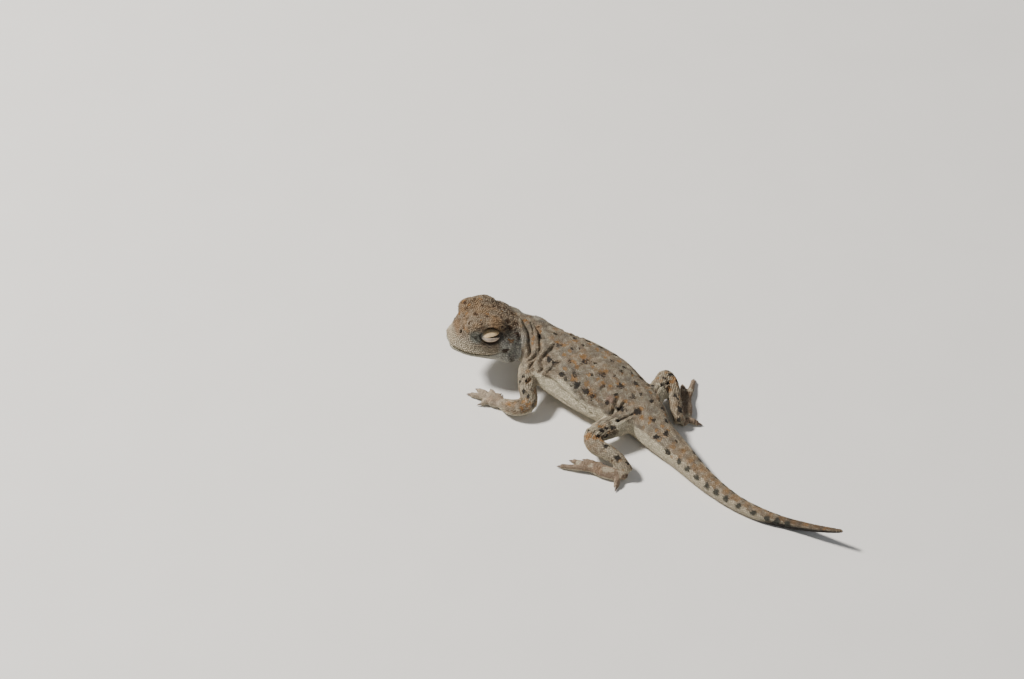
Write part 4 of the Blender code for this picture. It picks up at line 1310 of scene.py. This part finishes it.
def lid_grains(side, word, tree):
    """Places of the lid's granules: its fringe first, then others spread evenly over it."""
    thrown = np.random.default_rng(SCALE_SEED).normal(size=(LID_TRIES, 3))
    thrown = np.array(LID_MIDDLE) + rows_of_unit_length(thrown) * LID_HALF_SIZES
    thrown = SNOUT + (thrown * (1, side, 1)) @ HEAD_AXES
    grains = np.array([tree.find_nearest(Vector(place * MM))[0] for place in thrown]) / MM
    grains = np.vstack([margin_row(side, word, 0.2), grains])
    beside = margin_gap(grains, side, word) > 0.04
    outer = in_lid_axes(grains, side)[1] > -0.85
    grains = grains[beside & outer]
    return thinned(grains, np.full(len(grains), LID_SCALE))[0]


lid_finish = scaly_finish("lid skin", 0.55, 0.02)
for side, side_word in ((1, "left"), (-1, "right")):
    for word in ("upper", "lower"):
        name = f"{word}_lid_{side_word}"
        piece = new_piece(name + "_skin", lid(side, word), lid_finish)
        # The lid's skin under its granules is painted darker, as shade between them.
        tint(piece.data, lid_colours(places_of(piece.data), side, word) * 0.7)
        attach(piece, "root")
        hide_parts(name)
        grains = lid_grains(side, word, mesh_tree(piece.data))
        steepest = np.stack(in_lid_axes(grains, side), axis=1) / np.array(LID_HALF_SIZES) ** 2
        grain_out = rows_of_unit_length((steepest * (1, side, 1)) @ HEAD_AXES)
        (back, out, up), offset, keep = LID_MARGINS[word]
        to_margin = -keep * np.array((back, side * out, up)) @ HEAD_AXES
        edge = (margin_gap(grains, side, word) < 0.11)[:, None]
        grain_lie = np.where(edge, to_margin, -HEAD_FORWARD)
        uneven = random.normal(1.0, 0.1, len(grains)).clip(0.7, 1.3)
        grain_tints = lid_colours(grains, side, word) * uneven[:, None]
        anchor = np.array([unwrap[int(np.linalg.norm(spots - grains[0], axis=1).argmin())]])
        drift = (grains - grains.mean(axis=0)) @ HEAD_AXES.T[:, [0, 2]] * 0.0006
        size = np.where(edge[:, 0], 1.3, 1.0) * LID_SCALE
        scale_coat(
            name + "_scales", grains, grain_lie, grain_out, GRANULE,
            [size * share for share in LID_SCALE_SHARES], LID_FOOT_SHADE,
            grain_tints, anchor + drift, scale_finish,
        )

# Claws
# Every digit ends in a short, curved, pointed claw of brown horn.
CLAW_RADIUS = 0.34
CLAW_STEPS = 6
HORN = (0.11, 0.075, 0.05)


def claw(bm, tip, direction):
    """A horn that tapers and curves down to the tip."""
    direction = Vector(direction)
    ring = bmesh.ops.create_circle(bm, cap_ends=True, segments=10, radius=CLAW_RADIUS)
    made = list(ring["verts"])
    face = made[0].link_faces[0]
    for step in range(1, CLAW_STEPS + 1):
        face = bmesh.ops.extrude_discrete_faces(bm, faces=[face])["faces"][0]
        left_over = CLAW_STEPS - step
        shrink = (left_over / (left_over + 1)) ** 0.6 if left_over else 0.2
        middle = face.calc_center_median()
        bmesh.ops.scale(bm, verts=face.verts, vec=(shrink,) * 3, space=Matrix.Translation(-middle))
        drop = -2 * CLAW_DROP * step / (CLAW_STEPS * (CLAW_STEPS + 1))
        bmesh.ops.translate(bm, verts=face.verts, vec=(0.0, drop, CLAW_LENGTH / CLAW_STEPS))
        made += face.verts
    side = Vector((0, 0, 1)).cross(direction)
    axes = Matrix((side, Vector((0, 0, 1)), direction)).transposed().to_4x4()
    place = Matrix.Translation(Vector(tip) + Vector((0, 0, CLAW_DROP)) - direction * CLAW_LENGTH)
    bmesh.ops.transform(bm, verts=list(dict.fromkeys(made)), matrix=Matrix.Scale(MM, 4) @ place @ axes)


claws_bm = bmesh.new()
for tip, direction in DIGIT_TIPS:
    claw(claws_bm, tip, direction)
bmesh.ops.recalc_face_normals(claws_bm, faces=claws_bm.faces)
claw_finish = Finish("claw horn", Roughness=0.35, Specular_IOR_Level=0.5)
streak = claw_finish.noise(0.2, 3.0)
claw_finish.feed("Base Color", claw_finish.shaded(claw_finish.own_colour(), 0.7 + streak * 0.6))
claw_finish.bump(streak, 0.2, 0.02)
claws = new_piece("claws", claws_bm, claw_finish.material)
tint(claws.data, np.tile(HORN, (len(claws.data.vertices), 1)))
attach(claws, "root")

# Floor, light and camera
# A pale, plain floor under soft daylight from the left and a little behind, seen from above the left side.
FLOOR_SIZE = 4.0
CAMERA_BEARING = math.radians(34)
CAMERA_HEIGHT = math.radians(44)
CAMERA_TARGET = Vector((-44.1, 8.1, 0.0)) * MM
CAMERA_DISTANCE = 0.665
FOCAL_LENGTH = 100


def direction_of(bearing, height):
    """The direction to a bearing, turned from -Y towards +X, and a height above the floor."""
    return Vector((
        math.sin(bearing) * math.cos(height),
        -math.cos(bearing) * math.cos(height),
        math.sin(height),
    ))


def soft_light(name, bearing, height, distance, size, power, colour):
    data = bpy.data.lights.new(name, "AREA")
    data.shape = "DISK"
    data.size = size
    data.energy = power
    data.color = colour
    lamp = bpy.data.objects.new(name, data)
    out = direction_of(math.radians(bearing), math.radians(height))
    lamp.location = out * distance
    lamp.rotation_mode = "QUATERNION"
    lamp.rotation_quaternion = (-out).to_track_quat("-Z", "Y")
    bpy.context.scene.collection.objects.link(lamp)


bm = bmesh.new()
bmesh.ops.create_grid(bm, x_segments=1, y_segments=1, size=FLOOR_SIZE / 2)
floor_finish = Finish("floor", Roughness=0.85)
floor_finish.feed("Base Color", floor_finish.shaded(
    floor_finish.node("ShaderNodeRGB", {}, {}), 0.96 + floor_finish.noise(20.0) * 0.06
))
floor_finish.tree.nodes["RGB"].outputs[0].default_value = (0.80, 0.78, 0.75, 1.0)
floor = new_piece("floor", bm, floor_finish.material)

soft_light("key", -68, 50, 1.2, 0.2, 27.0, (1.0, 0.965, 0.91))
soft_light("fill", 60, 50, 1.5, 1.2, 2.2, (0.93, 0.96, 1.0))
world = bpy.data.worlds.new("studio")
bpy.context.scene.world = world
world.use_nodes = True
world.node_tree.nodes["Background"].inputs["Color"].default_value = (0.85, 0.88, 0.92, 1.0)
world.node_tree.nodes["Background"].inputs["Strength"].default_value = 0.2

camera = bpy.data.objects.new("camera", bpy.data.cameras.new("camera"))
bpy.context.scene.collection.objects.link(camera)
camera.data.lens = FOCAL_LENGTH
camera.data.clip_start = 0.01
view = direction_of(CAMERA_BEARING, CAMERA_HEIGHT)
camera.location = CAMERA_TARGET + view * CAMERA_DISTANCE
camera.rotation_mode = "QUATERNION"
camera.rotation_quaternion = (-view).to_track_quat("-Z", "Y")
bpy.context.scene.camera = camera
